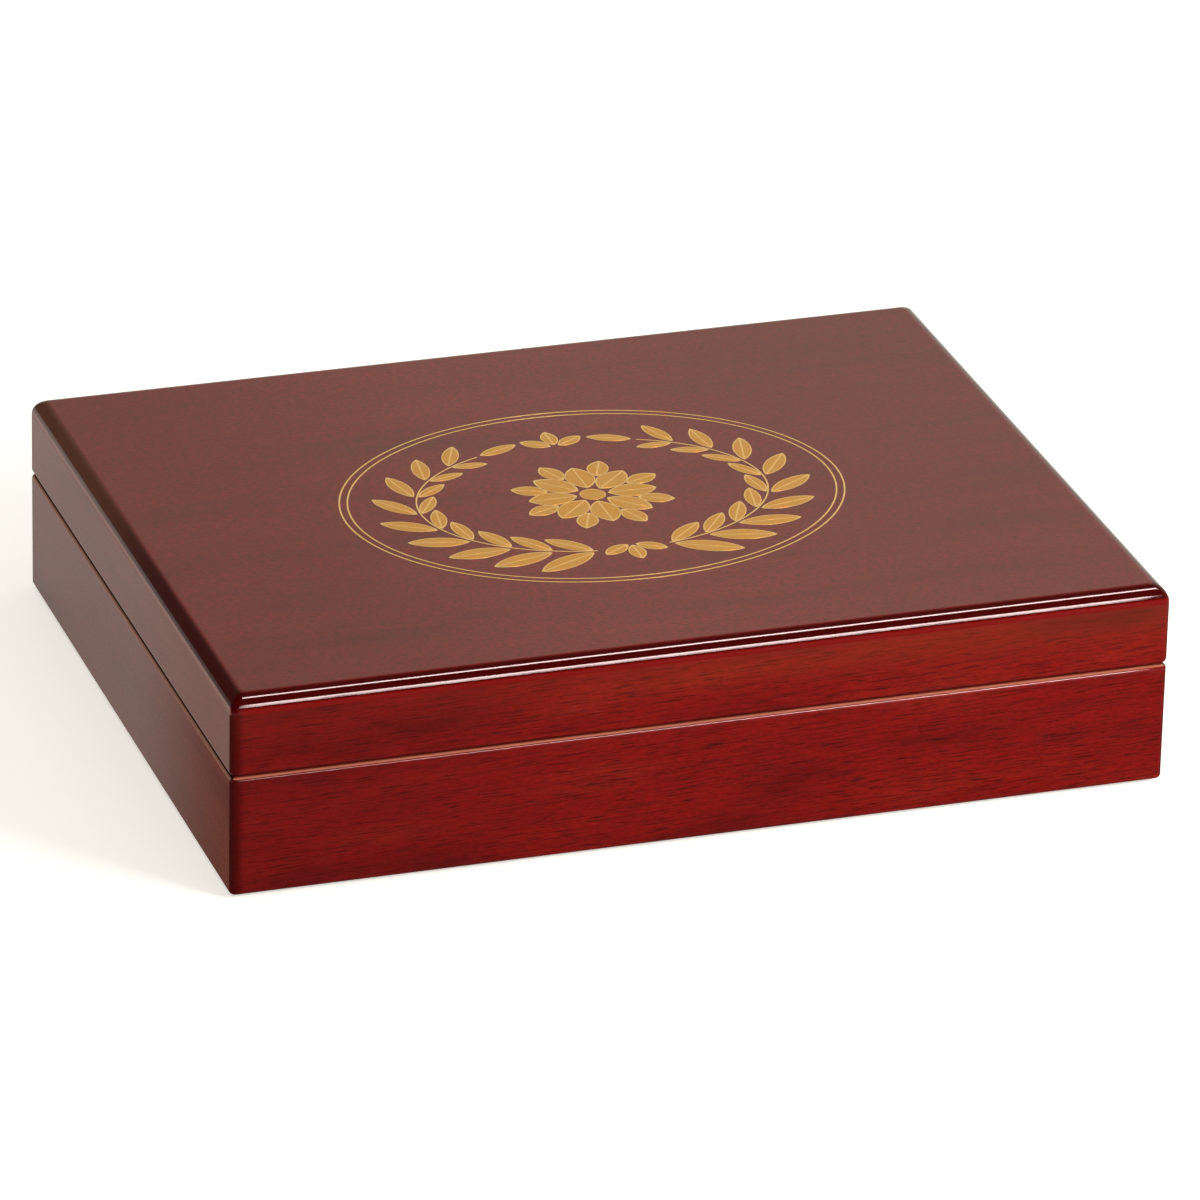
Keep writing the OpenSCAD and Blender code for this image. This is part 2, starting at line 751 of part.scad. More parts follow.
humidifier_tray();
humidifier_cover();
humidifier_foam();
humidifier_magnets();
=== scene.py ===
"""Looks of a flat desktop humidor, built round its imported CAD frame.

The CAD nodes keep their shapes and get procedural finishes. The new pieces are the lid's panel with smooth
corners, the gold ornament let into it, the printed scale of the hygrometer, the felt under the base and the
foam in the humidifier. Lengths are metres in the frame of the CAD: +X is right, +Y back and +Z up.
"""

import logging
import math
from dataclasses import dataclass, field, replace
from enum import Enum
from typing import Any, Iterable, Optional

import bmesh
import bpy
from mathutils import Matrix, Vector


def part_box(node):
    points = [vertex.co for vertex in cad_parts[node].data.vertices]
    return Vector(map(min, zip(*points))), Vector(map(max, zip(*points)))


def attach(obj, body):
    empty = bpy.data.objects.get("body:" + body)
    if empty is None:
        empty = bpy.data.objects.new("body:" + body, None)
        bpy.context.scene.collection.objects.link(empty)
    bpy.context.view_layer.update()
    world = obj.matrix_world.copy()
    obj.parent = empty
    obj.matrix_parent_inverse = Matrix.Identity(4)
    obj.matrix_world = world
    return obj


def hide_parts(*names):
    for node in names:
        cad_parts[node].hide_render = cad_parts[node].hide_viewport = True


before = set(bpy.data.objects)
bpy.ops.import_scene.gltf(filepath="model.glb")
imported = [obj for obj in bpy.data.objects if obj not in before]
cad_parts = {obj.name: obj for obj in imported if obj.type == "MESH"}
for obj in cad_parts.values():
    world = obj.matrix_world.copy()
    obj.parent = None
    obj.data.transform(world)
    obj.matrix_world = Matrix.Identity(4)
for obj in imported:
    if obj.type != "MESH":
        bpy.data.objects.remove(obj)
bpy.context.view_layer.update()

LOG = logging.getLogger("humidor")
MM = 0.001
# Side of the photograph in pixels
FRAME_PX = 1200

# The case's red stain; its deeper stain, also laid on as painted shade; painted shade for edges, ends and
# round-over; the left side's stain, browner as a painted reflection
RED_STAIN, DEEP_STAIN_AND_SHADE, EDGE_SHADE, LEFT_STAIN_AND_REFLECTION = "#800d0a", "#560706", "#420605", "#82331a"
# Weight of the lacquer's reflection on most faces, and on the left side
FACE_GLOSS, LEFT_GLOSS = 0.26, 0.61

# Places of the mix node's sockets, whose names repeat: the factor, then those for colours and for levels
MIX_FACTOR = 0
COLOUR_A, COLOUR_B, COLOUR_RESULT = 6, 7, 2
LEVEL_A, LEVEL_B, LEVEL_RESULT = 2, 3, 0

# Edges of a new piece that bend more than this stay sharp, on hard materials and on soft ones
CREASE, SOFT_CREASE = math.radians(35), math.radians(60)

Colour = tuple[float, float, float, float]
Triple = tuple[float, float, float]
Node = bpy.types.Node
Socket = bpy.types.NodeSocket
Tree = bpy.types.NodeTree
BMesh = bmesh.types.BMesh
BMFace = bmesh.types.BMFace
BMVert = bmesh.types.BMVert


def linear(hex_colour: str) -> Colour:
    """Turn an sRGB hex colour into linear light.

    Args:
        hex_colour: The colour as "#rrggbb".

    Returns:
        Linear red, green, blue and an alpha of 1.
    """
    channels = [int(hex_colour[i:i + 2], 16) / 255 for i in (1, 3, 5)]
    light = [c / 12.92 if c <= 0.04045 else ((c + 0.055) / 1.055) ** 2.4 for c in channels]
    return light[0], light[1], light[2], 1.0


def set_inputs(tree: Tree, node: Node, links: Optional[dict[Any, Socket]] = None,
               values: Optional[dict[Any, Any]] = None) -> None:
    """Link some inputs of a shader node and set others to constants.

    Args:
        tree: The node's tree.
        node: The node.
        links: Sockets to link, by the name or place of the node's input.
        values: Constants to set, by the name or place of the node's input.
    """
    for key, constant in (values or {}).items():
        node.inputs[key].default_value = constant
    for key, source in (links or {}).items():
        tree.links.new(source, node.inputs[key])


def add_node(
    tree: Tree,
    kind: str,
    links: Optional[dict[Any, Socket]] = None,
    values: Optional[dict[Any, Any]] = None,
    stops: Iterable[tuple[float, Colour]] = (),
    **settings: Any,
) -> Node:
    """Add a shader node with its settings and links.

    Args:
        tree: The node tree to add to.
        kind: The node's type name.
        links: Sockets to link, as for set_inputs.
        values: Constants to set, as for set_inputs.
        stops: The stops of a colour ramp, as place and colour.
        **settings: Properties of the node itself.

    Returns:
        The new node.
    """
    node = tree.nodes.new(kind)
    for name, setting in settings.items():
        setattr(node, name, setting)
    set_inputs(tree, node, links, values)
    for place, (position, colour) in enumerate(stops):
        ramp = node.color_ramp.elements
        stop = ramp[place] if place < 2 else ramp.new(position)
        stop.position, stop.color = position, colour
    return node


class GrainRun(Enum):
    """Which way the grain of a board runs."""

    ALONG_X = 0
    ALONG_Y = 1


@dataclass(frozen=True)
class Finish:
    """A surface of one real material.

    Attributes:
        name: Name of the material it makes.
    """

    name: str

    def make(self) -> bpy.types.Material:
        """Build the material on the first call and give the same one after that.

        Returns:
            The material.
        """
        known = bpy.data.materials.get(self.name)
        if known:
            return known
        material = bpy.data.materials.new(self.name)
        material.use_nodes = True
        tree = material.node_tree
        tree.nodes.clear()
        shader = add_node(tree, "ShaderNodeBsdfPrincipled")
        add_node(tree, "ShaderNodeOutputMaterial", links={"Surface": shader.outputs[0]})
        self.shade(tree, shader)
        return material

    def shade(self, tree: Tree, shader: Node) -> None:
        """Link the finish's pattern to its shader.

        Args:
            tree: The material's node tree.
            shader: Its Principled shader.
        """
        raise NotImplementedError

    @staticmethod
    def noise(
        tree: Tree,
        size_mm: Triple,
        detail: float = 2.0,
        turn: Triple = (0.0, 0.0, 0.0),
        shift_mm: Triple = (0.0, 0.0, 0.0),
    ) -> Socket:
        """Add a noise whose blotches have a real size along each axis.

        Args:
            tree: The material's node tree.
            size_mm: Size of a blotch along X, Y and Z.
            detail: Octaves of finer noise.
            turn: Small turn of the pattern, in radians.
            shift_mm: Shift of the pattern, so that patterns of one size differ.

        Returns:
            The noise's factor, about 0.5 on average.
        """
        coords = add_node(tree, "ShaderNodeTexCoord").outputs["Object"]
        turned = add_node(tree, "ShaderNodeMapping", links={"Vector": coords}, values={
            "Rotation": turn, "Location": tuple(s * MM for s in shift_mm),
        })
        sized = add_node(tree, "ShaderNodeMapping", links={"Vector": turned.outputs[0]}, values={
            "Scale": tuple(1 / (s * MM) for s in size_mm),
        })
        pattern = add_node(tree, "ShaderNodeTexNoise", links={"Vector": sized.outputs[0]}, values={
            "Scale": 1.0, "Detail": detail, "Roughness": 0.55,
        })
        return pattern.outputs["Factor" if "Factor" in pattern.outputs else "Fac"]

    @staticmethod
    def lay(tree: Tree, under: Socket | str, over: str, pattern: Socket, low: float, high: float,
            most: float = 1.0) -> Socket:
        """Lay a colour over another where a pattern says so.

        Args:
            tree: The material's node tree.
            under: The colour below, as a socket or a hex value.
            over: The colour on top.
            pattern: The pattern's factor.
            low: Level of the pattern at which the upper colour starts to show.
            high: Level at which it shows most, which may lie below the other.
            most: How much of it shows there.

        Returns:
            The layered colour.
        """
        share = add_node(tree, "ShaderNodeMapRange", links={"Value": pattern}, values={
            "From Min": low, "From Max": high, "To Max": most,
        }, interpolation_type="SMOOTHSTEP")
        links: dict[Any, Socket] = {MIX_FACTOR: share.outputs[0]}
        values: dict[Any, Any] = {COLOUR_B: linear(over)}
        if isinstance(under, str):
            values[COLOUR_A] = linear(under)
        else:
            links[COLOUR_A] = under
        return add_node(tree, "ShaderNodeMix", links, values, data_type="RGBA").outputs[COLOUR_RESULT]

    @staticmethod
    def place(tree: Tree, axis: str) -> Socket:
        """Read one coordinate of the shaded point in the object's frame."""
        coords = add_node(tree, "ShaderNodeTexCoord").outputs["Object"]
        return add_node(tree, "ShaderNodeSeparateXYZ", links={"Vector": coords}).outputs[axis]


@dataclass(frozen=True)
class Wood(Finish):
    """Shared by both woods: which way the grain runs.

    Attributes:
        grain: The board's grain direction.
    """

    grain: GrainRun = GrainRun.ALONG_X

    def fibre(self, along_mm: float, across_mm: float) -> Triple:
        """Give a blotch size that is long along the grain.

        Args:
            along_mm: Size along the grain.
            across_mm: Size across it.

        Returns:
            The sizes along X, Y and Z.
        """
        sizes = [across_mm] * 3
        sizes[self.grain.value] = along_mm
        return sizes[0], sizes[1], sizes[2]


@dataclass(frozen=True)
class Rise:
    """How a zone grows along a board.

    Attributes:
        axis: The coordinate along which it grows.
        span: Levels of that coordinate where it starts to grow and where it is whole.
        start: How much of it there is before.
    """

    axis: str
    span: tuple[float, float]
    start: float = 0.0


@dataclass(frozen=True)
class Zone:
    """A part of a lacquered board where its colour or gloss changes.

    Attributes:
        axis: The coordinate along which it is measured.
        at: Level of that coordinate where it is strongest.
        reach: Distances from there at which it starts and is complete.
        stain: Colour in the zone, if it changes: a stain, bare wood, painted shade or a painted reflection.
        share: How much of that colour shows.
        gloss: Weight of the lacquer's reflection in the zone, if it changes.
        mirrored: Whether it lies on both sides of the middle.
        rise: How it grows along the board, if it isn't even.
    """

    axis: str
    at: float
    reach: tuple[float, float]
    stain: Optional[str] = None
    share: float = 1.0
    gloss: Optional[float] = None
    mirrored: bool = False
    rise: Optional[Rise] = None


@dataclass(frozen=True)
class LacqueredRosewood(Wood):
    """Red-stained rosewood veneer, flatted and polished under thick clear lacquer.

    The lacquer gives sharp reflections that are strong only at a glancing angle. The veneer under it shows
    clouds of stain, long faint streaks and short dark pores along the grain. In some zones the wood is rubbed
    bare or the lacquer is duller, and in others shade or a reflection is painted into the colour.

    Attributes:
        stain: The stain's own colour.
        deep: Colour where the stain has gathered.
        warm: Colour where the wood shows through it.
        figure: Strength of streaks and pores.
        clouds: Strength of the clouds of stain.
        speckle: Strength of the fine speckle in stain and lacquer.
        gloss: Weight of the lacquer's reflection.
        zones: Where colour or gloss changes, the last on top.
    """

    stain: str = RED_STAIN
    deep: str = DEEP_STAIN_AND_SHADE
    warm: str = "#8a1d10"
    figure: float = 1.0
    clouds: float = 0.9
    speckle: float = 0.5
    gloss: float = 1.0
    zones: tuple[Zone, ...] = ()

    PORE = "#330605"
    TILT = (0.02, 0.025, 0.02)

    def shade(self, tree: Tree, shader: Node) -> None:
        """Link clouds, streaks, pores, speckle, the zones and the lacquer's slight waves.

        Args:
            tree: The material's node tree.
            shader: Its Principled shader.
        """
        cloud = self.noise(tree, self.fibre(70, 14), detail=3, turn=self.TILT)
        colour = self.lay(tree, self.stain, self.deep, cloud, 0.5, 0.25, self.clouds)
        colour = self.lay(tree, colour, self.warm, cloud, 0.5, 0.75, self.clouds)
        streak = self.noise(tree, self.fibre(24, 0.55), detail=3, turn=self.TILT)
        colour = self.lay(tree, colour, self.deep, streak, 0.44, 0.74, 0.6 * self.figure)
        # Real pores and specks are about 0.1 mm wide, too fine to show, so they are drawn coarser
        pores = self.noise(tree, self.fibre(8, 0.3), detail=1, turn=self.TILT)
        colour = self.lay(tree, colour, self.PORE, pores, 0.52, 0.72, 0.8 * self.figure)
        specks = self.noise(tree, self.fibre(1.5, 0.45), detail=2)
        colour = self.lay(tree, colour, self.PORE, specks, 0.4, 0.64, 0.6 * self.speckle)
        shader.inputs["Coat Weight"].default_value = self.gloss
        for zone in self.zones:
            near = self.nearness(tree, zone)
            if zone.stain is not None:
                colour = self.lay(tree, colour, zone.stain, near, 0.0, 1.0, zone.share)
            if zone.gloss is not None:
                self.reset_gloss(tree, shader, near, zone.gloss)
        wave = self.noise(tree, (9, 9, 9), detail=1)
        bump = add_node(tree, "ShaderNodeBump", links={"Height": wave}, values={
            "Strength": 0.07, "Distance": 0.06 * MM,
        })
        set_inputs(tree, shader, links={"Base Color": colour, "Coat Normal": bump.outputs[0]}, values={
            "Roughness": 0.5, "Specular IOR Level": 0.0, "Coat Roughness": 0.03, "Coat IOR": 1.3,
        })

    def nearness(self, tree: Tree, zone: Zone) -> Socket:
        """Tell how far inside a zone the shaded point is.

        Args:
            tree: The material's node tree.
            zone: The zone.

        Returns:
            0 outside it and 1 where it is complete.
        """
        place = self.place(tree, zone.axis)
        if zone.mirrored:
            place = add_node(tree, "ShaderNodeMath", links={0: place}, operation="ABSOLUTE").outputs[0]
        beyond = add_node(tree, "ShaderNodeMath", links={0: place}, values={1: zone.at}, operation="SUBTRACT")
        distance = add_node(tree, "ShaderNodeMath", links={0: beyond.outputs[0]}, operation="ABSOLUTE")
        near = add_node(tree, "ShaderNodeMapRange", links={"Value": distance.outputs[0]}, values={
            "From Min": zone.reach[0], "From Max": zone.reach[1],
        }, interpolation_type="SMOOTHSTEP").outputs[0]
        rise = zone.rise
        if rise is None:
            return near
        grown = add_node(tree, "ShaderNodeMapRange", links={"Value": self.place(tree, rise.axis)}, values={
            "From Min": rise.span[0], "From Max": rise.span[1], "To Min": rise.start, "To Max": 1.0,
        })
        return add_node(tree, "ShaderNodeMath", links={0: near, 1: grown.outputs[0]},
                        operation="MULTIPLY").outputs[0]

    @staticmethod
    def reset_gloss(tree: Tree, shader: Node, near: Socket, gloss: float) -> None:
        """Change the lacquer's weight inside a zone.

        Args:
            tree: The material's node tree.
            shader: Its Principled shader.
            near: How far inside the zone a point is.
            gloss: The weight in the zone.
        """
        weight = shader.inputs["Coat Weight"]
        changed = add_node(tree, "ShaderNodeMix", links={MIX_FACTOR: near}, values={
            LEVEL_A: weight.default_value, LEVEL_B: gloss,
        })
        if weight.is_linked:
            tree.links.new(weight.links[0].from_socket, changed.inputs[LEVEL_A])
        tree.links.new(changed.outputs[LEVEL_RESULT], weight)


@dataclass(frozen=True)
class SpanishCedar(Wood):
    """Bare Spanish cedar, planed: dry and pinkish brown, with broad soft bands and pores as fine dashes."""

    PALE = "#d09a70"
    ROSE = "#b87a52"
    BAND = "#a5673f"
    PORE = "#7d4627"

    def shade(self, tree: Tree, shader: Node) -> None:
        """Link growth bands, fibres and pores.

        Args:
            tree: The material's node tree.
            shader: Its Principled shader.
        """
        bands = self.noise(tree, self.fibre(120, 9), detail=3, turn=(0.01, 0.015, 0.01))
        colour = add_node(tree, "ShaderNodeValToRGB", links={"Fac": bands}, stops=(
            (0.34, linear(self.PALE)), (0.66, linear(self.BAND)), (0.5, linear(self.ROSE)),
        )).outputs["Color"]
        fibres = self.noise(tree, self.fibre(30, 0.7), detail=3)
        colour = self.lay(tree, colour, self.BAND, fibres, 0.45, 0.75, 0.5)
        # Real pores are about 0.2 mm wide, too fine to show, so they are drawn coarser
        pores = self.noise(tree, self.fibre(5, 0.35), detail=1, shift_mm=(11, 7, 5))
        colour = self.lay(tree, colour, self.PORE, pores, 0.6, 0.7, 0.7)
        bump = add_node(tree, "ShaderNodeBump", links={"Height": pores}, values={
            "Strength": 0.3, "Distance": 0.1 * MM,
        }, invert=True)
        rough = add_node(tree, "ShaderNodeMapRange", links={"Value": fibres}, values={
            "From Min": 0.3, "From Max": 0.7, "To Min": 0.55, "To Max": 0.72,
        })
        set_inputs(tree, shader, values={"Specular IOR Level": 0.25}, links={
            "Base Color": colour, "Roughness": rough.outputs[0], "Normal": bump.outputs[0],
        })


@dataclass(frozen=True)
class Metal(Finish):
    """A polished or satin metal: fine scratches in the gloss and a little tarnish.

    Attributes:
        bright: Colour of the clean metal.
        tarnish: Colour where it has dulled.
        roughness: Roughness where clean and where dull.
    """

    bright: str = "#d9ac5b"
    tarnish: str = "#b98838"
    roughness: tuple[float, float] = (0.24, 0.34)

    def shade(self, tree: Tree, shader: Node) -> None:
        """Link tarnish clouds and scratches.

        Args:
            tree: The material's node tree.
            shader: Its Principled shader.
        """
        cloud = self.noise(tree, (7, 7, 7), detail=4)
        colour = self.lay(tree, self.bright, self.tarnish, cloud, 0.42, 0.68)
        # Real scratches are far finer than 0.3 mm, too fine to show, so they are drawn coarser
        scratch = self.noise(tree, (4.0, 0.3, 0.3), detail=2, turn=(0.3, 0.4, 0.5))
        rough = add_node(tree, "ShaderNodeMapRange", links={"Value": scratch}, values={
            "From Min": 0.35, "From Max": 0.7, "To Min": self.roughness[0], "To Max": self.roughness[1],
        })
        bump = add_node(tree, "ShaderNodeBump", links={"Height": scratch}, values={
            "Strength": 0.04, "Distance": 0.02 * MM,
        })
        set_inputs(tree, shader, values={"Metallic": 1.0}, links={
            "Base Color": colour, "Roughness": rough.outputs[0], "Normal": bump.outputs[0],
        })


@dataclass(frozen=True)
class GoldFill(Finish):
    """Gold paint wiped into a shallow engraving: metal flakes in a binder, so satin and a little uneven.

    Attributes:
        body: Colour of the fill.
        fleck: Colour of its brighter flakes.
    """

    body: str = "#cf993e"
    fleck: str = "#deae58"

    def shade(self, tree: Tree, shader: Node) -> None:
        """Link flakes and cloudy thickness.

        Args:
            tree: The material's node tree.
            shader: Its Principled shader.
        """
        # Real flakes are about 0.05 mm, too fine to show, so they are drawn coarser
        flakes = self.noise(tree, (0.5, 0.5, 0.5), detail=2)
        colour = self.lay(tree, self.body, self.fleck, flakes, 0.45, 0.75, 0.6)
        cloud = self.noise(tree, (6, 6, 6), detail=2)
        rough = add_node(tree, "ShaderNodeMapRange", links={"Value": cloud}, values={
            "From Min": 0.3, "From Max": 0.7, "To Min": 0.32, "To Max": 0.46,
        })
        set_inputs(tree, shader, values={"Metallic": 0.8}, links={
            "Base Color": colour, "Roughness": rough.outputs[0],
        })


@dataclass(frozen=True)
class ClearGlass(Finish):
    """Thin float glass: almost unseen, with a clean highlight and a faint film of dust."""

    TINT = "#f4fafa"

    def shade(self, tree: Tree, shader: Node) -> None:
        """Link the dust to the roughness.

        Args:
            tree: The material's node tree.
            shader: Its Principled shader.
        """
        dust = self.noise(tree, (5, 5, 5), detail=4)
        rough = add_node(tree, "ShaderNodeMapRange", links={"Value": dust}, values={
            "From Min": 0.45, "From Max": 0.8, "To Min": 0.01, "To Max": 0.08,
        })
        set_inputs(tree, shader, links={"Roughness": rough.outputs[0]}, values={
            "Base Color": linear(self.TINT), "Transmission Weight": 1.0, "IOR": 1.46, "Alpha": 0.12,
        })


@dataclass(frozen=True)
class Paint(Finish):
    """A thin matt coat, such as printing ink or dial paint: even, with fine grit and slight mottling.

    Attributes:
        light: The coat's colour.
        shadow: Colour of its mottling.
        grit_mm: Size of its grit, drawn coarser than the real one, which is too fine to show.
        roughness: Roughness of the coat.
    """

    light: str = "#dad1b9"
    shadow: str = "#cec4a9"
    grit_mm: float = 0.4
    roughness: float = 0.55

    def shade(self, tree: Tree, shader: Node) -> None:
        """Link mottling and grit.

        Args:
            tree: The material's node tree.
            shader: Its Principled shader.
        """
        mottle = self.noise(tree, (6, 6, 6), detail=4)
        colour = self.lay(tree, self.light, self.shadow, mottle, 0.35, 0.7)
        grit = self.noise(tree, (self.grit_mm,) * 3, detail=2)
        bump = add_node(tree, "ShaderNodeBump", links={"Height": grit}, values={
            "Strength": 0.12, "Distance": 0.04 * MM,
        })
        set_inputs(tree, shader, links={"Base Color": colour, "Normal": bump.outputs[0]}, values={
            "Roughness": self.roughness, "Specular IOR Level": 0.12,
        })


@dataclass(frozen=True)
class MouldedPlastic(Finish):
    """Black ABS from a spark-eroded mould: a fine even grain that breaks the gloss."""

    BLACK = "#17171a"
    BLOOM = "#212124"

    def shade(self, tree: Tree, shader: Node) -> None:
        """Link the mould's grain and a greyer bloom.

        Args:
            tree: The material's node tree.
            shader: Its Principled shader.
        """
        bloom = self.noise(tree, (12, 12, 12), detail=3)
        colour = self.lay(tree, self.BLACK, self.BLOOM, bloom, 0.35, 0.7)
        # The real grain is about 0.1 mm, too fine to show, so it is drawn coarser
        grain = self.noise(tree, (0.45, 0.45, 0.45), detail=1)
        bump = add_node(tree, "ShaderNodeBump", links={"Height": grain}, values={
            "Strength": 0.35, "Distance": 0.08 * MM,
        })
        set_inputs(tree, shader, links={"Base Color": colour, "Normal": bump.outputs[0]}, values={
            "Roughness": 0.42, "Specular IOR Level": 0.25,
        })


@dataclass(frozen=True)
class OpenCellFoam(Finish):
    """Green open-cell foam: a crumbly surface of small dark pores that takes all gloss away."""

    WALL = "#3f8a5e"
    PORE = "#1b4a31"

    def shade(self, tree: Tree, shader: Node) -> None:
        """Link the cells.

        Args:
            tree: The material's node tree.
            shader: Its Principled shader.
        """
        # Real cells are about 0.3 mm, too fine to show, so they are drawn coarser
        cells = self.noise(tree, (0.9, 0.9, 0.9), detail=2)
        colour = self.lay(tree, self.WALL, self.PORE, cells, 0.62, 0.38)
        bump = add_node(tree, "ShaderNodeBump", links={"Height": cells}, values={
            "Strength": 0.8, "Distance": 0.5 * MM,
        })
        set_inputs(tree, shader, links={"Base Color": colour, "Normal": bump.outputs[0]}, values={
            "Roughness": 0.95, "Specular IOR Level": 0.1,
        })


@dataclass(frozen=True)
class WoolFelt(Finish):
    """Pressed wool felt: short tangled fibres, a soft sheen at a glancing angle and slight clouding."""

    WOOL = "#1f432d"
    CLOUD = "#254f37"
    FIBRE = "#48775a"

    def shade(self, tree: Tree, shader: Node) -> None:
        """Link fibres and clouds.

        Args:
            tree: The material's node tree.
            shader: Its Principled shader.
        """
        cloud = self.noise(tree, (9, 9, 9), detail=4)
        colour = self.lay(tree, self.WOOL, self.CLOUD, cloud, 0.35, 0.68)
        # Real fibres are about 0.03 mm thick, too fine to show, so they are drawn coarser
        fibres = self.noise(tree, (2.2, 0.35, 0.6), detail=3, turn=(0.2, 0.3, 0.7))
        colour = self.lay(tree, colour, self.FIBRE, fibres, 0.55, 0.75, 0.4)
        bump = add_node(tree, "ShaderNodeBump", links={"Height": fibres}, values={
            "Strength": 0.6, "Distance": 0.25 * MM,
        })
        set_inputs(tree, shader, links={"Base Color": colour, "Normal": bump.outputs[0]}, values={
            "Roughness": 0.9, "Specular IOR Level": 0.1, "Sheen Weight": 0.4, "Sheen Roughness": 0.5,
        })


# Heights of the base's rim and the lid's rim, and half sizes and height of the lid
RIM_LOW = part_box("base_front_board")[1].z
RIM_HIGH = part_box("lid_front_rail")[0].z
HALF_WIDTH, HALF_DEPTH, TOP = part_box("lid_top_panel")[1]
# Radius of the upright corners of lid and felt
CORNER = 1.8 * MM

BRASS = Metal("polished_brass")
STEEL = Metal("satin_steel", "#b4b5b8", "#96989c", roughness=(0.26, 0.42))
DIAL_CARD = Paint("ivory_dial_paint")
INK = Paint("black_printing_ink", "#17161a", "#232227")
IDEAL_INK = Paint("green_printing_ink", "#3d7a45", "#35703d")
NEEDLE_PAINT = Paint("satin_black_enamel", "#101012", "#1b1b1e", roughness=0.35)
GLASS = ClearGlass("float_glass")
PLASTIC = MouldedPlastic("moulded_black_abs")
FOAM = OpenCellFoam("open_cell_foam")
FELT = WoolFelt("green_wool_felt")
GOLD = GoldFill("gold_fill")
# Brighter gold for the rims of the engraving: a painted highlight where the edges catch the light
GOLD_HIGHLIGHT = GoldFill("gold_fill_painted_highlight", "#ebc57c", "#f6d898")


def add_piece(name: str, bm: BMesh, finishes: Iterable[Finish], body: str,
              crease: float = CREASE) -> bpy.types.Object:
    """Turn a finished bmesh into a piece that rides on a body.

    Args:
        name: Name of the piece.
        bm: Its shape, which is freed.
        finishes: Its materials, in the order of the faces' material numbers.
        body: The body it moves with.
        crease: Edges that bend more than this stay sharp.

    Returns:
        The piece's object.
    """
    for face in bm.faces:
        face.smooth = True
    for edge in bm.edges:
        edge.smooth = len(edge.link_faces) == 2 and edge.calc_face_angle() < crease
    mesh = bpy.data.meshes.new(name)
    bm.to_mesh(mesh)
    bm.free()
    for finish in finishes:
        mesh.materials.append(finish.make())
    piece = bpy.data.objects.new(name, mesh)
    bpy.context.scene.collection.objects.link(piece)
    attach(piece, body)
    LOG.info("built %s: %d faces, rides on %s", name, len(mesh.polygons), body)
    return piece


def dress_nodes(finish: Finish, *nodes: str) -> None:
    """Put a finish on CAD nodes.

    Args:
        finish: Their new finish.
        *nodes: The nodes' names.
    """
    for node in nodes:
        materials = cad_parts[node].data.materials
        if not materials:
            materials.append(None)
        for place in range(len(materials)):
            materials[place] = finish.make()
        LOG.info("dressed %s in %s", node, finish.name)


def pick(geom: Iterable[Any], kind: type) -> list[Any]:
    """Pick the vertices or the faces out of an operator's result."""
    return [item for item in geom if isinstance(item, kind)]


def add_rectangle(bm: BMesh, width: float, depth: float, middle: Triple) -> list[BMVert]:
    """Add one flat rectangle.

    Args:
        bm: The bmesh to add to.
        width: Its size along X.
        depth: Its size along Y.
        middle: Where its middle is.

    Returns:
        Its corners.
    """
    corners = bmesh.ops.create_grid(bm, x_segments=1, y_segments=1, size=0.5)["verts"]
    bmesh.ops.scale(bm, vec=(width, depth, 1), verts=corners)
    bmesh.ops.translate(bm, vec=middle, verts=corners)
    return corners


def rounded_plate(bm: BMesh, width: float, depth: float, height: float, segments: int = 8) -> BMFace:
    """Add one flat face with round corners, centred on the Z axis.

    Args:
        bm: The bmesh to add to.
        width: Its size along X.
        depth: Its size along Y.
        height: Its Z.
        segments: Steps of a corner.

    Returns:
        The face.
    """
    corners = add_rectangle(bm, width, depth, (0, 0, height))
    rounded = bmesh.ops.bevel(bm, geom=corners, offset=CORNER, offset_type="OFFSET", affect="VERTICES",
                              segments=segments, profile=0.5, material=-1)
    return next(face for vert in rounded["verts"] for face in vert.link_faces)


def raise_face(bm: BMesh, face: BMFace, rise: float, inward: float = 0.0) -> BMFace:
    """Extrude a round-cornered plate upwards and bring its four corners in.

    Args:
        bm: The bmesh.
        face: The plate's upper face.
        rise: How far up.
        inward: How far each corner moves in along X and along Y.

    Returns:
        The new upper face.
    """
    grown = bmesh.ops.extrude_face_region(bm, geom=[face])["geom"]
    verts = pick(grown, BMVert)
    bmesh.ops.translate(bm, vec=(0, 0, rise), verts=verts)
    for side_x in (-1, 1):
        for side_y in (-1, 1):
            corner = [v for v in verts if v.co.x * side_x > 0 and v.co.y * side_y > 0]
            bmesh.ops.translate(bm, vec=(-side_x * inward, -side_y * inward, 0), verts=corner)
    return pick(grown, BMFace)[0]


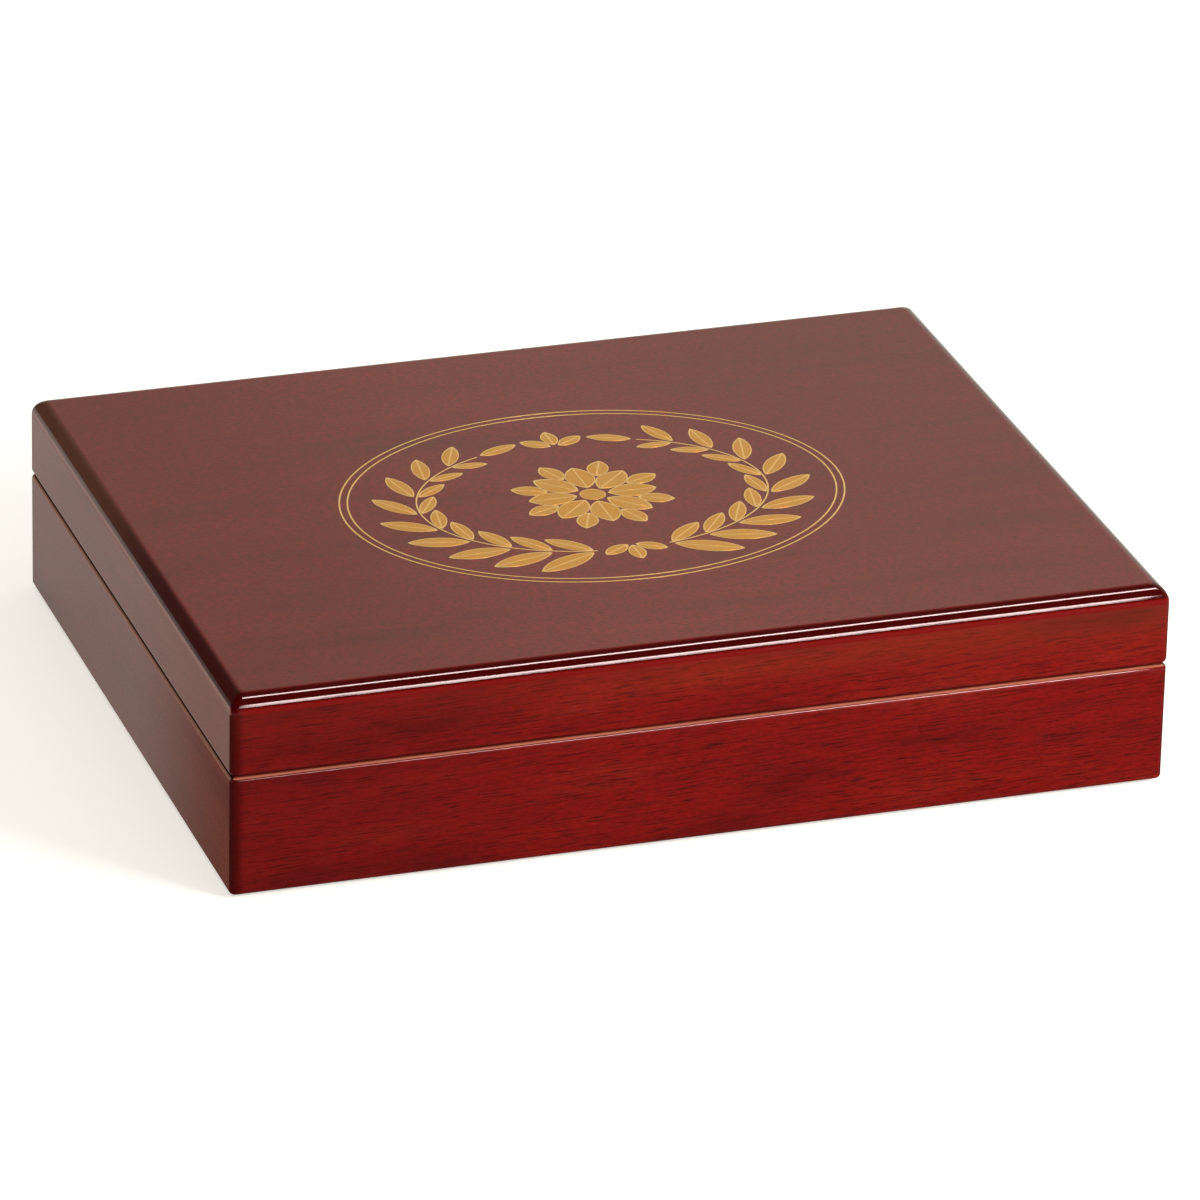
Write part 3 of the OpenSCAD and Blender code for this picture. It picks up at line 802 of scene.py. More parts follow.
@dataclass
class PhotoCamera:
    """The camera, at the photograph's viewing angle.

    Attributes:
        azimuth: Degrees from the front, to the left where negative.
        elevation: Degrees above the table.
        roll: Degrees.
        distance: From the target.
        target: The point at the middle of the picture.
        focal_px: Focal length in pixels of the photograph.
        sensor_mm: Width of the sensor.
        clip_end: Distance up to which things are drawn.
    """

    azimuth: float = -18.64
    elevation: float = 24.81
    roll: float = 1.31
    distance: float = 2.404
    target: Triple = (-0.00093, -0.0140, 0.03115)
    focal_px: float = 8857
    sensor_mm: float = 36
    clip_end: float = 100

    def build(self) -> bpy.types.Object:
        """Make the camera and give it to the scene.

        Returns:
            The camera.
        """
        turn, tip, tilt = (math.radians(a) for a in (self.azimuth, self.elevation, self.roll))
        back = Vector((math.sin(turn) * math.cos(tip), -math.cos(turn) * math.cos(tip), math.sin(tip)))
        level = back.cross(Vector((0, 0, -1))).normalized()
        upright = back.cross(level)
        right = math.cos(tilt) * level + math.sin(tilt) * upright
        up = back.cross(right)
        data = bpy.data.cameras.new("photo_camera")
        data.sensor_width = self.sensor_mm
        data.sensor_fit = "HORIZONTAL"
        data.lens = self.focal_px / FRAME_PX * self.sensor_mm
        data.clip_end = self.clip_end
        camera = bpy.data.objects.new("photo_camera", data)
        place = Matrix((right, up, back)).transposed().to_4x4()
        place.translation = Vector(self.target) + back * self.distance
        camera.matrix_world = place
        bpy.context.scene.collection.objects.link(camera)
        bpy.context.scene.camera = camera
        LOG.info("camera at %s, lens %.0f mm", [round(c, 3) for c in place.translation], data.lens)
        return camera


@dataclass(frozen=True)
class Softbox:
    """A rectangular lamp.

    Attributes:
        name: Its name.
        place: Where it stands.
        aim: The point it faces.
        width: Its size across.
        height: Its size upwards.
        radiance: How bright its face is, where 1 is white.
        colour: Colour of its light.
        lights_matt: True where it lights matt surfaces only, False where only gloss mirrors it.
    """

    name: str
    place: Triple
    aim: Triple
    width: float
    height: float
    radiance: float
    colour: str = "#ffffff"
    lights_matt: bool = True

    # An area lamp's face has the radiance of its power over four times its area
    WATTS_PER_RADIANCE = 4

    def build(self) -> bpy.types.Object:
        """Make the lamp.

        Returns:
            The lamp.
        """
        data = bpy.data.lights.new(self.name, "AREA")
        data.shape = "RECTANGLE"
        data.size, data.size_y = self.width, self.height
        data.color = linear(self.colour)[:3]
        data.energy = self.radiance * self.WATTS_PER_RADIANCE * self.width * self.height
        lamp = bpy.data.objects.new(self.name, data)
        turn = (Vector(self.aim) - Vector(self.place)).to_track_quat("-Z", "Y")
        lamp.matrix_world = Matrix.Translation(self.place) @ turn.to_matrix().to_4x4()
        lamp.visible_camera = False
        lamp.visible_diffuse = self.lights_matt
        lamp.visible_glossy = not self.lights_matt
        bpy.context.scene.collection.objects.link(lamp)
        LOG.info("lamp %s, %.1f W", self.name, data.energy)
        return lamp


@dataclass
class Studio:
    """A white sweep under plain soft light.

    Attributes:
        floor_size: Side of the floor.
        floor_colour: The floor's own colour.
        floor_glow: What is added where the floor is seen, so that it is white outside the shadow.
        glow_colour: Its colour, warm as the floor's.
        backdrop: Colour of the surroundings round the horizon.
        fill_colour: Colour of the even light from all round.
        fill: Its strength.
        horizon: Height of a direction, as a sine, up to which the surroundings are white.
        zenith: Height from which they are dark.
        overhead: Brightness of the surroundings overhead.
        left: Sideways part of a direction up to which they are dim.
        right: Sideways part from which they are white.
        far_left: Their brightness on the dim side.
        front: Backward part of a direction up to which they are dark, as at the camera.
        back: Backward part from which they are white.
        far_front: Their brightness on the dark side.
    """

    floor_size: float = 30.0
    floor_colour: str = "#f3f0e8"
    floor_glow: float = 0.56
    glow_colour: str = "#fffcf4"
    backdrop: str = "#fff7e4"
    fill_colour: str = "#ffffff"
    fill: float = 0.5
    horizon: float = 0.46
    zenith: float = 0.78
    overhead: float = 0.15
    left: float = -0.15
    right: float = 0.35
    far_left: float = 0.22
    front: float = -0.25
    back: float = 0.15
    far_front: float = 0.12

    KEY = Softbox("key_softbox", place=(0.75, -0.88, 0.61), aim=(0, 0, 0.03), width=0.46, height=0.36,
                  radiance=19)
    # The lid's round-over mirrors these two as the bright lines along its front edge
    UPPER_STRIP = Softbox("upper_strip", place=(0.45, -0.191, 1.453), aim=(0.45, -0.0985, 0.056), width=0.72,
                          height=0.25, radiance=47, colour="#ffe6e3", lights_matt=False)
    LOWER_STRIP = replace(UPPER_STRIP, name="lower_strip", place=(0.44, -1.305, 0.767),
                          aim=(0.44, -0.0985, 0.056), width=0.41, height=0.37)

    def build(self) -> None:
        """Set the view, the surroundings, the floor and the lamps."""
        bpy.context.scene.view_settings.view_transform = "Standard"
        self._surroundings()
        self._floor()
        for lamp in (self.KEY, self.UPPER_STRIP, self.LOWER_STRIP):
            lamp.build()

    @staticmethod
    def _seen(tree: Tree) -> Socket:
        """Tell rays that show the background from rays that only light the object.

        Args:
            tree: The node tree to add to.

        Returns:
            1 for camera, glossy and transmitted rays, else 0.
        """
        path = add_node(tree, "ShaderNodeLightPath").outputs
        either = add_node(tree, "ShaderNodeMath", operation="MAXIMUM",
                          links={0: path["Is Camera Ray"], 1: path["Is Glossy Ray"]})
        return add_node(tree, "ShaderNodeMath", operation="MAXIMUM",
                        links={0: either.outputs[0], 1: path["Is Transmission Ray"]}).outputs[0]

    def _surroundings(self) -> None:
        """Make the world: white behind, darker overhead, at the left and in front, and an even fill."""
        world = bpy.data.worlds.new("studio")
        world.use_nodes = True
        tree = world.node_tree
        tree.nodes.clear()
        direction = add_node(tree, "ShaderNodeTexCoord").outputs["Generated"]
        parts = add_node(tree, "ShaderNodeSeparateXYZ", links={"Vector": direction}).outputs
        upward, sideways, backward = (
            add_node(tree, "ShaderNodeMapRange", links={"Value": parts[axis]}, values={
                "From Min": start, "From Max": end, "To Min": first, "To Max": last,
            }, interpolation_type="SMOOTHSTEP").outputs[0]
            for axis, start, end, first, last in (
                ("Z", self.horizon, self.zenith, 1.0, self.overhead),
                ("X", self.left, self.right, self.far_left, 1.0),
                ("Y", self.front, self.back, self.far_front, 1.0),
            )
        )
        level = upward
        for share in (sideways, backward):
            product = add_node(tree, "ShaderNodeMath", links={0: level, 1: share}, operation="MULTIPLY")
            level = product.outputs[0]
        seen = add_node(tree, "ShaderNodeBackground", links={"Strength": level},
                        values={"Color": linear(self.backdrop)})
        fill = add_node(tree, "ShaderNodeBackground", values={
            "Color": linear(self.fill_colour), "Strength": self.fill,
        })
        chosen = add_node(tree, "ShaderNodeMixShader",
                          links={0: self._seen(tree), 1: fill.outputs[0], 2: seen.outputs[0]})
        add_node(tree, "ShaderNodeOutputWorld", links={"Surface": chosen.outputs[0]})
        bpy.context.scene.world = world

    def _floor(self) -> None:
        """Lay the pale floor, which keeps the object's shadow."""
        bm = bmesh.new()
        add_rectangle(bm, self.floor_size, self.floor_size, (0, 0, 0))
        mesh = bpy.data.meshes.new("studio_floor")
        bm.to_mesh(mesh)
        bm.free()
        material = bpy.data.materials.new("pale_sweep")
        material.use_nodes = True
        material.cycles.emission_sampling = "NONE"
        tree = material.node_tree
        tree.nodes.clear()
        matt = add_node(tree, "ShaderNodeBsdfDiffuse", values={"Color": linear(self.floor_colour)})
        glow_level = add_node(tree, "ShaderNodeMath", operation="MULTIPLY", links={0: self._seen(tree)},
                              values={1: self.floor_glow})
        glow = add_node(tree, "ShaderNodeEmission", links={"Strength": glow_level.outputs[0]},
                        values={"Color": linear(self.glow_colour)})
        both = add_node(tree, "ShaderNodeAddShader", links={0: matt.outputs[0], 1: glow.outputs[0]})
        add_node(tree, "ShaderNodeOutputMaterial", links={"Surface": both.outputs[0]})
        mesh.materials.append(material)
        floor = bpy.data.objects.new("studio_floor", mesh)
        bpy.context.scene.collection.objects.link(floor)


@dataclass
class Case:
    """The two mitred frames of lacquered boards, which keep their CAD shapes.

    Attributes:
        bare_wood: Colour of the front rim, where it is rubbed down to the wood.
        seam_shade: Colour of the dark line along the sides' rims, painted shade of the seam's gap.
        left_warm: Tone of the left side where the wood shows through its stain, browner than at the front as
            a painted reflection.
        left_rim_reflection: Tone of the left side's rims, a painted reflection.
        brown_reflection: Tone of the front's upper part, a painted reflection.
        front_share: Share of the sides' gloss that is left at their front ends, for base and lid.
    """

    bare_wood: str = "#c0725a"
    seam_shade: str = "#2a130b"
    left_warm: str = "#8f3d20"
    left_rim_reflection: str = "#a2715f"
    brown_reflection: str = "#8a3a20"
    front_share: dict[str, float] = field(default_factory=lambda: {"base": 0.25, "lid": 0.78})

    # Where zones that are fainter at the left start to grow, and where they are whole
    RIGHTWARDS = (-90 * MM, 85 * MM)

    def dress(self) -> None:
        """Give each board a lacquered finish with its grain along it."""
        for part, boards, rim in (("base", "board", RIM_LOW), ("lid", "rail", RIM_HIGH)):
            stained_rim = Zone("Z", rim, (0.03 * MM, 0.01 * MM), RED_STAIN, share=0.75, gloss=0.5)
            long = LacqueredRosewood(f"lacquered_rosewood_{part}_long", GrainRun.ALONG_X, speckle=0.45,
                                     gloss=FACE_GLOSS, zones=(*self._long_zones(part), stained_rim))
            right = LacqueredRosewood(f"lacquered_rosewood_{part}_right", GrainRun.ALONG_Y, speckle=0.45,
                                      gloss=FACE_GLOSS, zones=(*self._short_zones(part), stained_rim))
            # The left side's browner stain and clouds and its paler rims are a painted reflection of the pale
            # floor
            rim_reflection = Zone("Z", rim, (1.25 * MM, 0.8 * MM), self.left_rim_reflection)
            left = replace(right, name=f"painted_reflection_rosewood_{part}_left", stain=LEFT_STAIN_AND_REFLECTION, warm=self.left_warm,
                           figure=0.2, clouds=0.4, gloss=LEFT_GLOSS, zones=(rim_reflection, *right.zones))
            for side, finish in (("front", long), ("back", long), ("left", left), ("right", right)):
                dress_nodes(finish, f"{part}_{side}_{boards}")
        dress_nodes(LacqueredRosewood("lacquered_rosewood_bottom"), "base_bottom_panel")

    def _long_zones(self, part: str) -> list[Zone]:
        """Give the zones of front and back: painted shade and a painted reflection, and the base's rubbed
        rim.

        Args:
            part: "base" or "lid".

        Returns:
            The zones.
        """
        zones = [
            # Painted shade: darker towards the left, and darker at both ends
            Zone("X", -HALF_WIDTH, (HALF_WIDTH, 20 * MM), DEEP_STAIN_AND_SHADE, share=0.28),
            Zone("X", -HALF_WIDTH, (4.5 * MM, 1.0 * MM), EDGE_SHADE, share=0.8, gloss=0.12),
            Zone("X", HALF_WIDTH, (1.4 * MM, 0.4 * MM), EDGE_SHADE, share=0.8, gloss=0.12),
            # A painted reflection browns the upper part, more towards the right
            Zone("Z", TOP, (22 * MM, 4 * MM), self.brown_reflection, share=0.24,
                 rise=Rise("X", self.RIGHTWARDS, start=0.3)),
        ]
        if part == "base":
            zones += [
                Zone("Z", RIM_LOW, (1.3 * MM, 1.1 * MM), gloss=1.0,
                     rise=Rise("X", self.RIGHTWARDS, start=0.13)),
                Zone("Z", RIM_LOW, (0.38 * MM, 0.30 * MM), self.bare_wood, gloss=0.0),
            ]
        return zones

    def _short_zones(self, part: str) -> list[Zone]:
        """Give the zones of the sides: less gloss at the front, ends darkened with painted shade, and a line
        of painted shade at the base's rim.

        Args:
            part: "base" or "lid".

        Returns:
            The zones.
        """
        zones = [
            Zone("Y", -HALF_DEPTH, (HALF_DEPTH, 0.0), gloss=LEFT_GLOSS * self.front_share[part]),
            # Painted shade darkens both ends of the sides
            Zone("Y", HALF_DEPTH, (1.8 * MM, 1.3 * MM), EDGE_SHADE, share=0.9, gloss=0.1, mirrored=True),
        ]
        if part == "base":
            # The dark line along the base's rim is painted shade of the seam's gap
            zones.append(Zone("Z", RIM_LOW, (0.35 * MM, 0.1 * MM), self.seam_shade, gloss=0.0))
        return zones


@dataclass
class LidPanel:
    """The lid's top panel, whose round-over turns each corner in one smooth sweep.

    Attributes:
        round_over: Radius along the top edge.
        steps: Steps of the round-over.
        gauge_clearance: Gap between the hygrometer and its hole in the plug.
        hole_steps: Steps of that hole.
        left_edge_reflection: Tone of the left edge towards the back, a painted reflection.
    """

    round_over: float = 4.6 * MM
    steps: int = 20
    gauge_clearance: float = 0.1 * MM
    hole_steps: int = 64
    left_edge_reflection: str = "#613424"

    def build(self) -> bpy.types.Object:
        """Build the panel in place of its CAD node.

        Returns:
            The panel.
        """
        low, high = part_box("lid_top_panel")
        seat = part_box("lid_front_rail")[1].z
        bm = bmesh.new()
        face = rounded_plate(bm, high.x - low.x, high.y - low.y, seat)
        face = raise_face(bm, face, high.z - self.round_over - seat)
        for step in range(self.steps):
            here, there = (math.pi / 2 * s / self.steps for s in (step, step + 1))
            rise = self.round_over * (math.sin(there) - math.sin(here))
            inward = self.round_over * (math.cos(here) - math.cos(there))
            face = raise_face(bm, face, rise, inward)
        self._add_plug(bm, low.z, seat)
        bmesh.ops.recalc_face_normals(bm, faces=bm.faces)
        finish = LacqueredRosewood("lacquered_rosewood_top", GrainRun.ALONG_X, figure=0.25, clouds=0.45,
                                   speckle=0.9, zones=self._zones(high.z - self.round_over))
        panel = add_piece("lid_panel", bm, [finish], "lid")
        even = panel.modifiers.new("even_normals", "WEIGHTED_NORMAL")
        even.keep_sharp = True
        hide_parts("lid_top_panel")
        return panel

    def _zones(self, foot: float) -> tuple[Zone, ...]:
        """Give the zones: painted shade at the ends and round-over, the foot, and painted reflection and
        shade at the left.

        Args:
            foot: Height at which the round-over meets the upright faces.

        Returns:
            The zones.
        """
        return (
            # Painted shade darkens both ends and the round-over
            Zone("X", HALF_WIDTH, (HALF_WIDTH, 30 * MM), DEEP_STAIN_AND_SHADE, share=0.3),
            Zone("X", -HALF_WIDTH, (HALF_WIDTH, 20 * MM), DEEP_STAIN_AND_SHADE, share=0.2, gloss=0.85),
            Zone("Z", foot, (self.round_over, self.round_over - 0.25 * MM), EDGE_SHADE),
            Zone("Z", foot, (1.6 * MM, 1.2 * MM), RED_STAIN, share=0.8, gloss=FACE_GLOSS),
            # Along the left edge: a painted reflection towards the back, painted shade towards the front, and
            # the left side's painted reflection on the upright strip
            Zone("X", -HALF_WIDTH, (self.round_over, 3.0 * MM), self.left_edge_reflection,
                 rise=Rise("Y", (-30 * MM, 50 * MM))),
            Zone("X", -HALF_WIDTH, (4.5 * MM, 1.0 * MM), EDGE_SHADE, share=0.8, gloss=0.4,
                 rise=Rise("Y", (0.0, -90 * MM))),
            Zone("X", -HALF_WIDTH, (0.3 * MM, 0.25 * MM), LEFT_STAIN_AND_REFLECTION, gloss=1.0),
            Zone("X", -HALF_WIDTH, (0.08 * MM, 0.0), gloss=0.9 * LEFT_GLOSS),
        )

    def _add_plug(self, bm: BMesh, low: float, seat: float) -> None:
        """Add the plug under the panel, with the hygrometer's hole.

        Args:
            bm: The panel's bmesh.
            low: The plug's underside.
            seat: The panel's underside.
        """
        ceiling_low, ceiling_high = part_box("cedar_ceiling")
        case_low, case_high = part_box("hygrometer_case")
        glass_low, glass_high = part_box("hygrometer_glass")
        hole = (glass_high.x - glass_low.x) / 2 + self.gauge_clearance
        middle = (case_low + case_high) / 2
        size = ceiling_high - ceiling_low
        plate = add_rectangle(bm, size.x, size.y, (0, 0, low))
        outline = list({edge for vert in plate for edge in vert.link_edges})
        bmesh.ops.delete(bm, geom=list({f for v in plate for f in v.link_faces}), context="FACES_ONLY")
        ring = bmesh.ops.create_circle(bm, segments=self.hole_steps, radius=hole)["verts"]
        bmesh.ops.translate(bm, vec=(middle.x, middle.y, low), verts=ring)
        outline += list({edge for vert in ring for edge in vert.link_edges})
        filled = bmesh.ops.triangle_fill(bm, edges=outline, use_beauty=True, use_dissolve=False)["geom"]
        grown = bmesh.ops.extrude_face_region(bm, geom=pick(filled, BMFace))["geom"]
        bmesh.ops.translate(bm, vec=(0, 0, seat - low), verts=pick(grown, BMVert))


@dataclass
class GoldOrnament:
    """A laurel wreath round a rosette inside fine oval lines, engraved in the lid and filled with gold.

    Attributes:
        centre: Middle of the ornament on the lid.
        wreath: Half sizes of the oval that the branches follow.
        pairs: Pairs of leaves on a branch.
        outer_leaf: Length and width of the largest leaf outside the stem.
        inner_leaf: Length and width of the largest leaf inside it.
        petals: Petals in a round of the rosette.
        petal: Length and width of a petal.
        eye: Radius of the rosette's eye.
        vein: Width of the line along the middle of a leaf, where the rim's painted highlight shows.
        rim: Width of the rim of each shape, brighter gold as a painted highlight.
        line: Width of the fine lines.
        border: Half sizes of the oval line outside.
        border_gap: Distance between the two oval lines.
        proud: How far the bright rims stand above the lacquer.
        layer: How far the fill stands above them.
        thickness: Depth of the gold.
    """

    centre: tuple[float, float] = (0.0, -0.003)
    wreath: tuple[float, float] = (0.0490, 0.0365)
    pairs: int = 9
    outer_leaf: tuple[float, float] = (0.0190, 0.0068)
    inner_leaf: tuple[float, float] = (0.0145, 0.0052)
    petals: int = 8
    petal: tuple[float, float] = (0.0138, 0.0082)
    eye: float = 3.6 * MM
    vein: float = 0.45 * MM
    rim: float = 0.3 * MM
    line: float = 0.45 * MM
    border: tuple[float, float] = (0.0700, 0.0560)
    border_gap: float = 2.2 * MM
    proud: float = 0.04 * MM
    layer: float = 0.02 * MM
    thickness: float = 0.1 * MM

    # Steps of a leaf's outline, of an oval line, of the eye, and of the sum that measures a branch
    OUTLINE_STEPS, OVAL_STEPS, EYE_STEPS, BRANCH_STEPS = 28, 180, 48, 200
    # How pointed a leaf is, from 0 for an ellipse, and how much wider its rim is at its ends
    POINT, TIP_RIM = 0.6, 2.4
    # Angles on the oval where the right branch starts and ends
    BRANCH = (math.radians(-78), math.radians(62))
    # Angle between leaf and stem, the gap between them, and the scale of the leaf at the tip
    LEAN, STEM_GAP, TIP_SCALE = math.radians(34), 1.3 * MM, 0.66
    # Directions of a spray's leaves, their size beside an inner leaf, and how far inside the oval it starts
    SPRAY, SPRAY_SCALE, SPRAY_INSET = (math.radians(-58), 0.0, math.radians(58)), (0.62, 0.9), 3.5 * MM
    # Distance from the eye and scale of each round of petals
    ROUNDS = ((0.8 * MM, 1.0), (8.6 * MM, 0.74))

    def build(self) -> bpy.types.Object:
        """Build the ornament on the lid.

        Returns:
            The ornament.
        """
        bm = bmesh.new()
        self._wreath(bm)
        self._sprays(bm)
        self._rosette(bm)
        self._oval_line(bm, self.wreath, self.BRANCH)
        for inset in (0.0, self.border_gap):
            self._oval_line(bm, (self.border[0] - inset, self.border[1] - inset))
        bmesh.ops.translate(bm, vec=(*self.centre, TOP + self.proud), verts=bm.verts)
        bm.normal_update()
        bmesh.ops.reverse_faces(bm, faces=[face for face in bm.faces if face.normal.z < 0])
        ornament = add_piece("gold_ornament", bm, [GOLD, GOLD_HIGHLIGHT], "lid")
        fill = ornament.modifiers.new("depth", "SOLIDIFY")
        fill.thickness = self.thickness
        fill.offset = -1
        return ornament

    def _add(self, bm: BMesh, part: BMesh, place: Matrix, filled: bool) -> None:
        """Move a flat part into the ornament.

        Args:
            bm: The ornament.
            part: The part, which is freed.
            place: Where it goes.
            filled: True for the fill on top, False for the bright rim below it.
        """
        for face in part.faces:
            face.material_index = 0 if filled else 1
        raised = Matrix.Translation((0, 0, self.layer if filled else 0.0))
        bmesh.ops.transform(part, matrix=place @ raised, verts=part.verts)
        mesh = bpy.data.meshes.new("ornament_part")
        part.to_mesh(mesh)
        part.free()
        bm.from_mesh(mesh)
        bpy.data.meshes.remove(mesh)

    def _pointed(self, size: tuple[float, float], start: float) -> BMesh:
        """Make a pointed oval along X.

        Args:
            size: Its length and width.
            start: Where it starts.

        Returns:
            The oval.
        """
        part = bmesh.new()
        bmesh.ops.create_circle(part, cap_ends=True, segments=self.OUTLINE_STEPS, radius=0.5)
        for vert in part.verts:
            vert.co.y *= abs(2 * vert.co.y) ** self.POINT
        bmesh.ops.translate(part, vec=(0.5, 0, 0), verts=part.verts)
        bmesh.ops.scale(part, vec=(*size, 1), verts=part.verts)
        bmesh.ops.translate(part, vec=(start, 0, 0), verts=part.verts)
        return part

    def _leaf(self, bm: BMesh, size: tuple[float, float], place: Matrix) -> None:
        """Add a leaf: a bright pointed oval, and on it the fill in two halves with the vein between them.

        Args:
            bm: The ornament.
            size: Its length, from the origin along X, and its width.
            place: Where it goes.
        """
        self._add(bm, self._pointed(size, 0.0), place, False)
        tip = self.TIP_RIM * self.rim
        for side in (1, -1):
            half = self._pointed((size[0] - 2 * tip, size[1] - 2 * self.rim), tip)
            bmesh.ops.bisect_plane(half, geom=[*half.verts, *half.edges, *half.faces], clear_inner=True,
                                   plane_co=(0, side * self.vein / 2, 0), plane_no=(0, side, 0))
            self._add(bm, half, place, True)

    def _along_oval(self, share: float) -> Matrix:
        """Give the place on the wreath's oval at a share of a branch's length, with X along the branch.

        Args:
            share: 0 at the branch's foot and 1 at its tip.

        Returns:
            The place.
        """
        wide, high = self.wreath
        first, last = self.BRANCH
        angles = [first + (last - first) * i / self.BRANCH_STEPS for i in range(self.BRANCH_STEPS + 1)]
        speeds = [math.hypot(wide * math.sin(a), high * math.cos(a)) for a in angles]
        wanted, run, step = share * sum(speeds), 0.0, 0
        while step < self.BRANCH_STEPS and run + speeds[step] < wanted:
            run, step = run + speeds[step], step + 1
        angle = angles[step]
        along = math.atan2(high * math.cos(angle), -wide * math.sin(angle))
        point = (wide * math.cos(angle), high * math.sin(angle), 0)
        return Matrix.Translation(point) @ Matrix.Rotation(along, 4, "Z")

    def _wreath(self, bm: BMesh) -> None:
        """Add the two branches, each of paired leaves and a leaf at the tip.

        Args:
            bm: The ornament.
        """
        for hand in (1, -1):
            flip = Matrix.Diagonal((hand, 1, 1, 1))
            for pair in range(self.pairs + 1):
                share = pair / self.pairs
                scale = 1 + share * (self.TIP_SCALE - 1)
                leaves = ((-self.LEAN, self.outer_leaf), (self.LEAN, self.inner_leaf))
                for lean, size in leaves if pair < self.pairs else ((0.0, self.outer_leaf),):
                    turn = Matrix.Rotation(lean, 4, "Z") @ Matrix.Translation((self.STEM_GAP, 0, 0))
                    self._leaf(bm, (size[0] * scale, size[1] * scale), flip @ self._along_oval(share) @ turn)

    def _sprays(self, bm: BMesh) -> None:
        """Add the small sprays of three leaves that close the wreath at its foot and its head.

        Args:
            bm: The ornament.
        """
        size = self.inner_leaf[0] * self.SPRAY_SCALE[0], self.inner_leaf[1] * self.SPRAY_SCALE[1]
        for side in (1, -1):
            root = Matrix.Translation((0, side * (self.wreath[1] - self.SPRAY_INSET), 0))
            for lean in self.SPRAY:
                turn = Matrix.Rotation(side * math.pi / 2 + lean, 4, "Z")
                self._leaf(bm, size, root @ turn @ Matrix.Translation((self.STEM_GAP, 0, 0)))

    def _rosette(self, bm: BMesh) -> None:
        """Add the rosette: two rounds of petals about a round eye.

        Args:
            bm: The ornament.
        """
        for number, (gap, scale) in enumerate(self.ROUNDS):
            for petal in range(self.petals):
                angle = 2 * math.pi * (petal + number / 2) / self.petals
                place = Matrix.Rotation(angle, 4, "Z") @ Matrix.Translation((self.eye + gap, 0, 0))
                self._leaf(bm, (self.petal[0] * scale, self.petal[1] * scale), place)
        for radius, filled in ((self.eye, False), (self.eye - self.rim, True)):
            part = bmesh.new()
            bmesh.ops.create_circle(part, cap_ends=True, segments=self.EYE_STEPS, radius=radius)
            self._add(bm, part, Matrix.Identity(4), filled)

    def _oval_line(self, bm: BMesh, half: tuple[float, float],
                   span: tuple[float, float] = (-math.pi, math.pi)) -> None:
        """Add a fine oval line, the same left and right.

        Args:
            bm: The ornament.
            half: Its half sizes.
            span: Angles, from the right, between which it runs.
        """
        part = bmesh.new()
        bmesh.ops.create_circle(part, segments=self.OVAL_STEPS, radius=1)
        beyond = [v for v in part.verts if not span[0] <= math.atan2(v.co.y, abs(v.co.x)) <= span[1]]
        bmesh.ops.delete(part, geom=beyond, context="VERTS")
        bmesh.ops.scale(part, vec=(*half, 1), verts=part.verts)
        grown = bmesh.ops.extrude_edge_only(part, edges=part.edges[:])["geom"]
        inward = (1 - self.line / half[0], 1 - self.line / half[1], 1)
        bmesh.ops.scale(part, vec=inward, verts=pick(grown, BMVert))
        # The line is all rim gold, with its painted highlight
        self._add(bm, part, Matrix.Identity(4), False)


@dataclass
class CedarLining:
    """The cedar inside base and lid, and the loose divider, which keep their CAD shapes."""

    LENGTHWISE = ("cedar_floor", "cedar_ceiling", "base_cedar_front", "base_cedar_back", "lid_cedar_front",
                  "lid_cedar_back")
    CROSSWISE = ("base_cedar_left", "base_cedar_right", "lid_cedar_left", "lid_cedar_right", "divider")

    def dress(self) -> None:
        """Give each board bare cedar with its grain along it."""
        dress_nodes(SpanishCedar("spanish_cedar_long", GrainRun.ALONG_X), *self.LENGTHWISE)
        dress_nodes(SpanishCedar("spanish_cedar_short", GrainRun.ALONG_Y), *self.CROSSWISE)


@dataclass
class QuadrantHinges:
    """The brass quadrant hinges with their pins, stays and screws, which keep their CAD shapes."""

    def dress(self) -> None:
        """Give the hinges polished brass and the pins steel."""
        for hand in ("left", "right"):
            dress_nodes(BRASS, f"hinge_base_leaf_{hand}", f"hinge_lid_leaf_{hand}", f"hinge_stay_{hand}")
            dress_nodes(STEEL, f"hinge_pin_{hand}")
        dress_nodes(BRASS, "hinge_base_screws", "hinge_lid_screws")


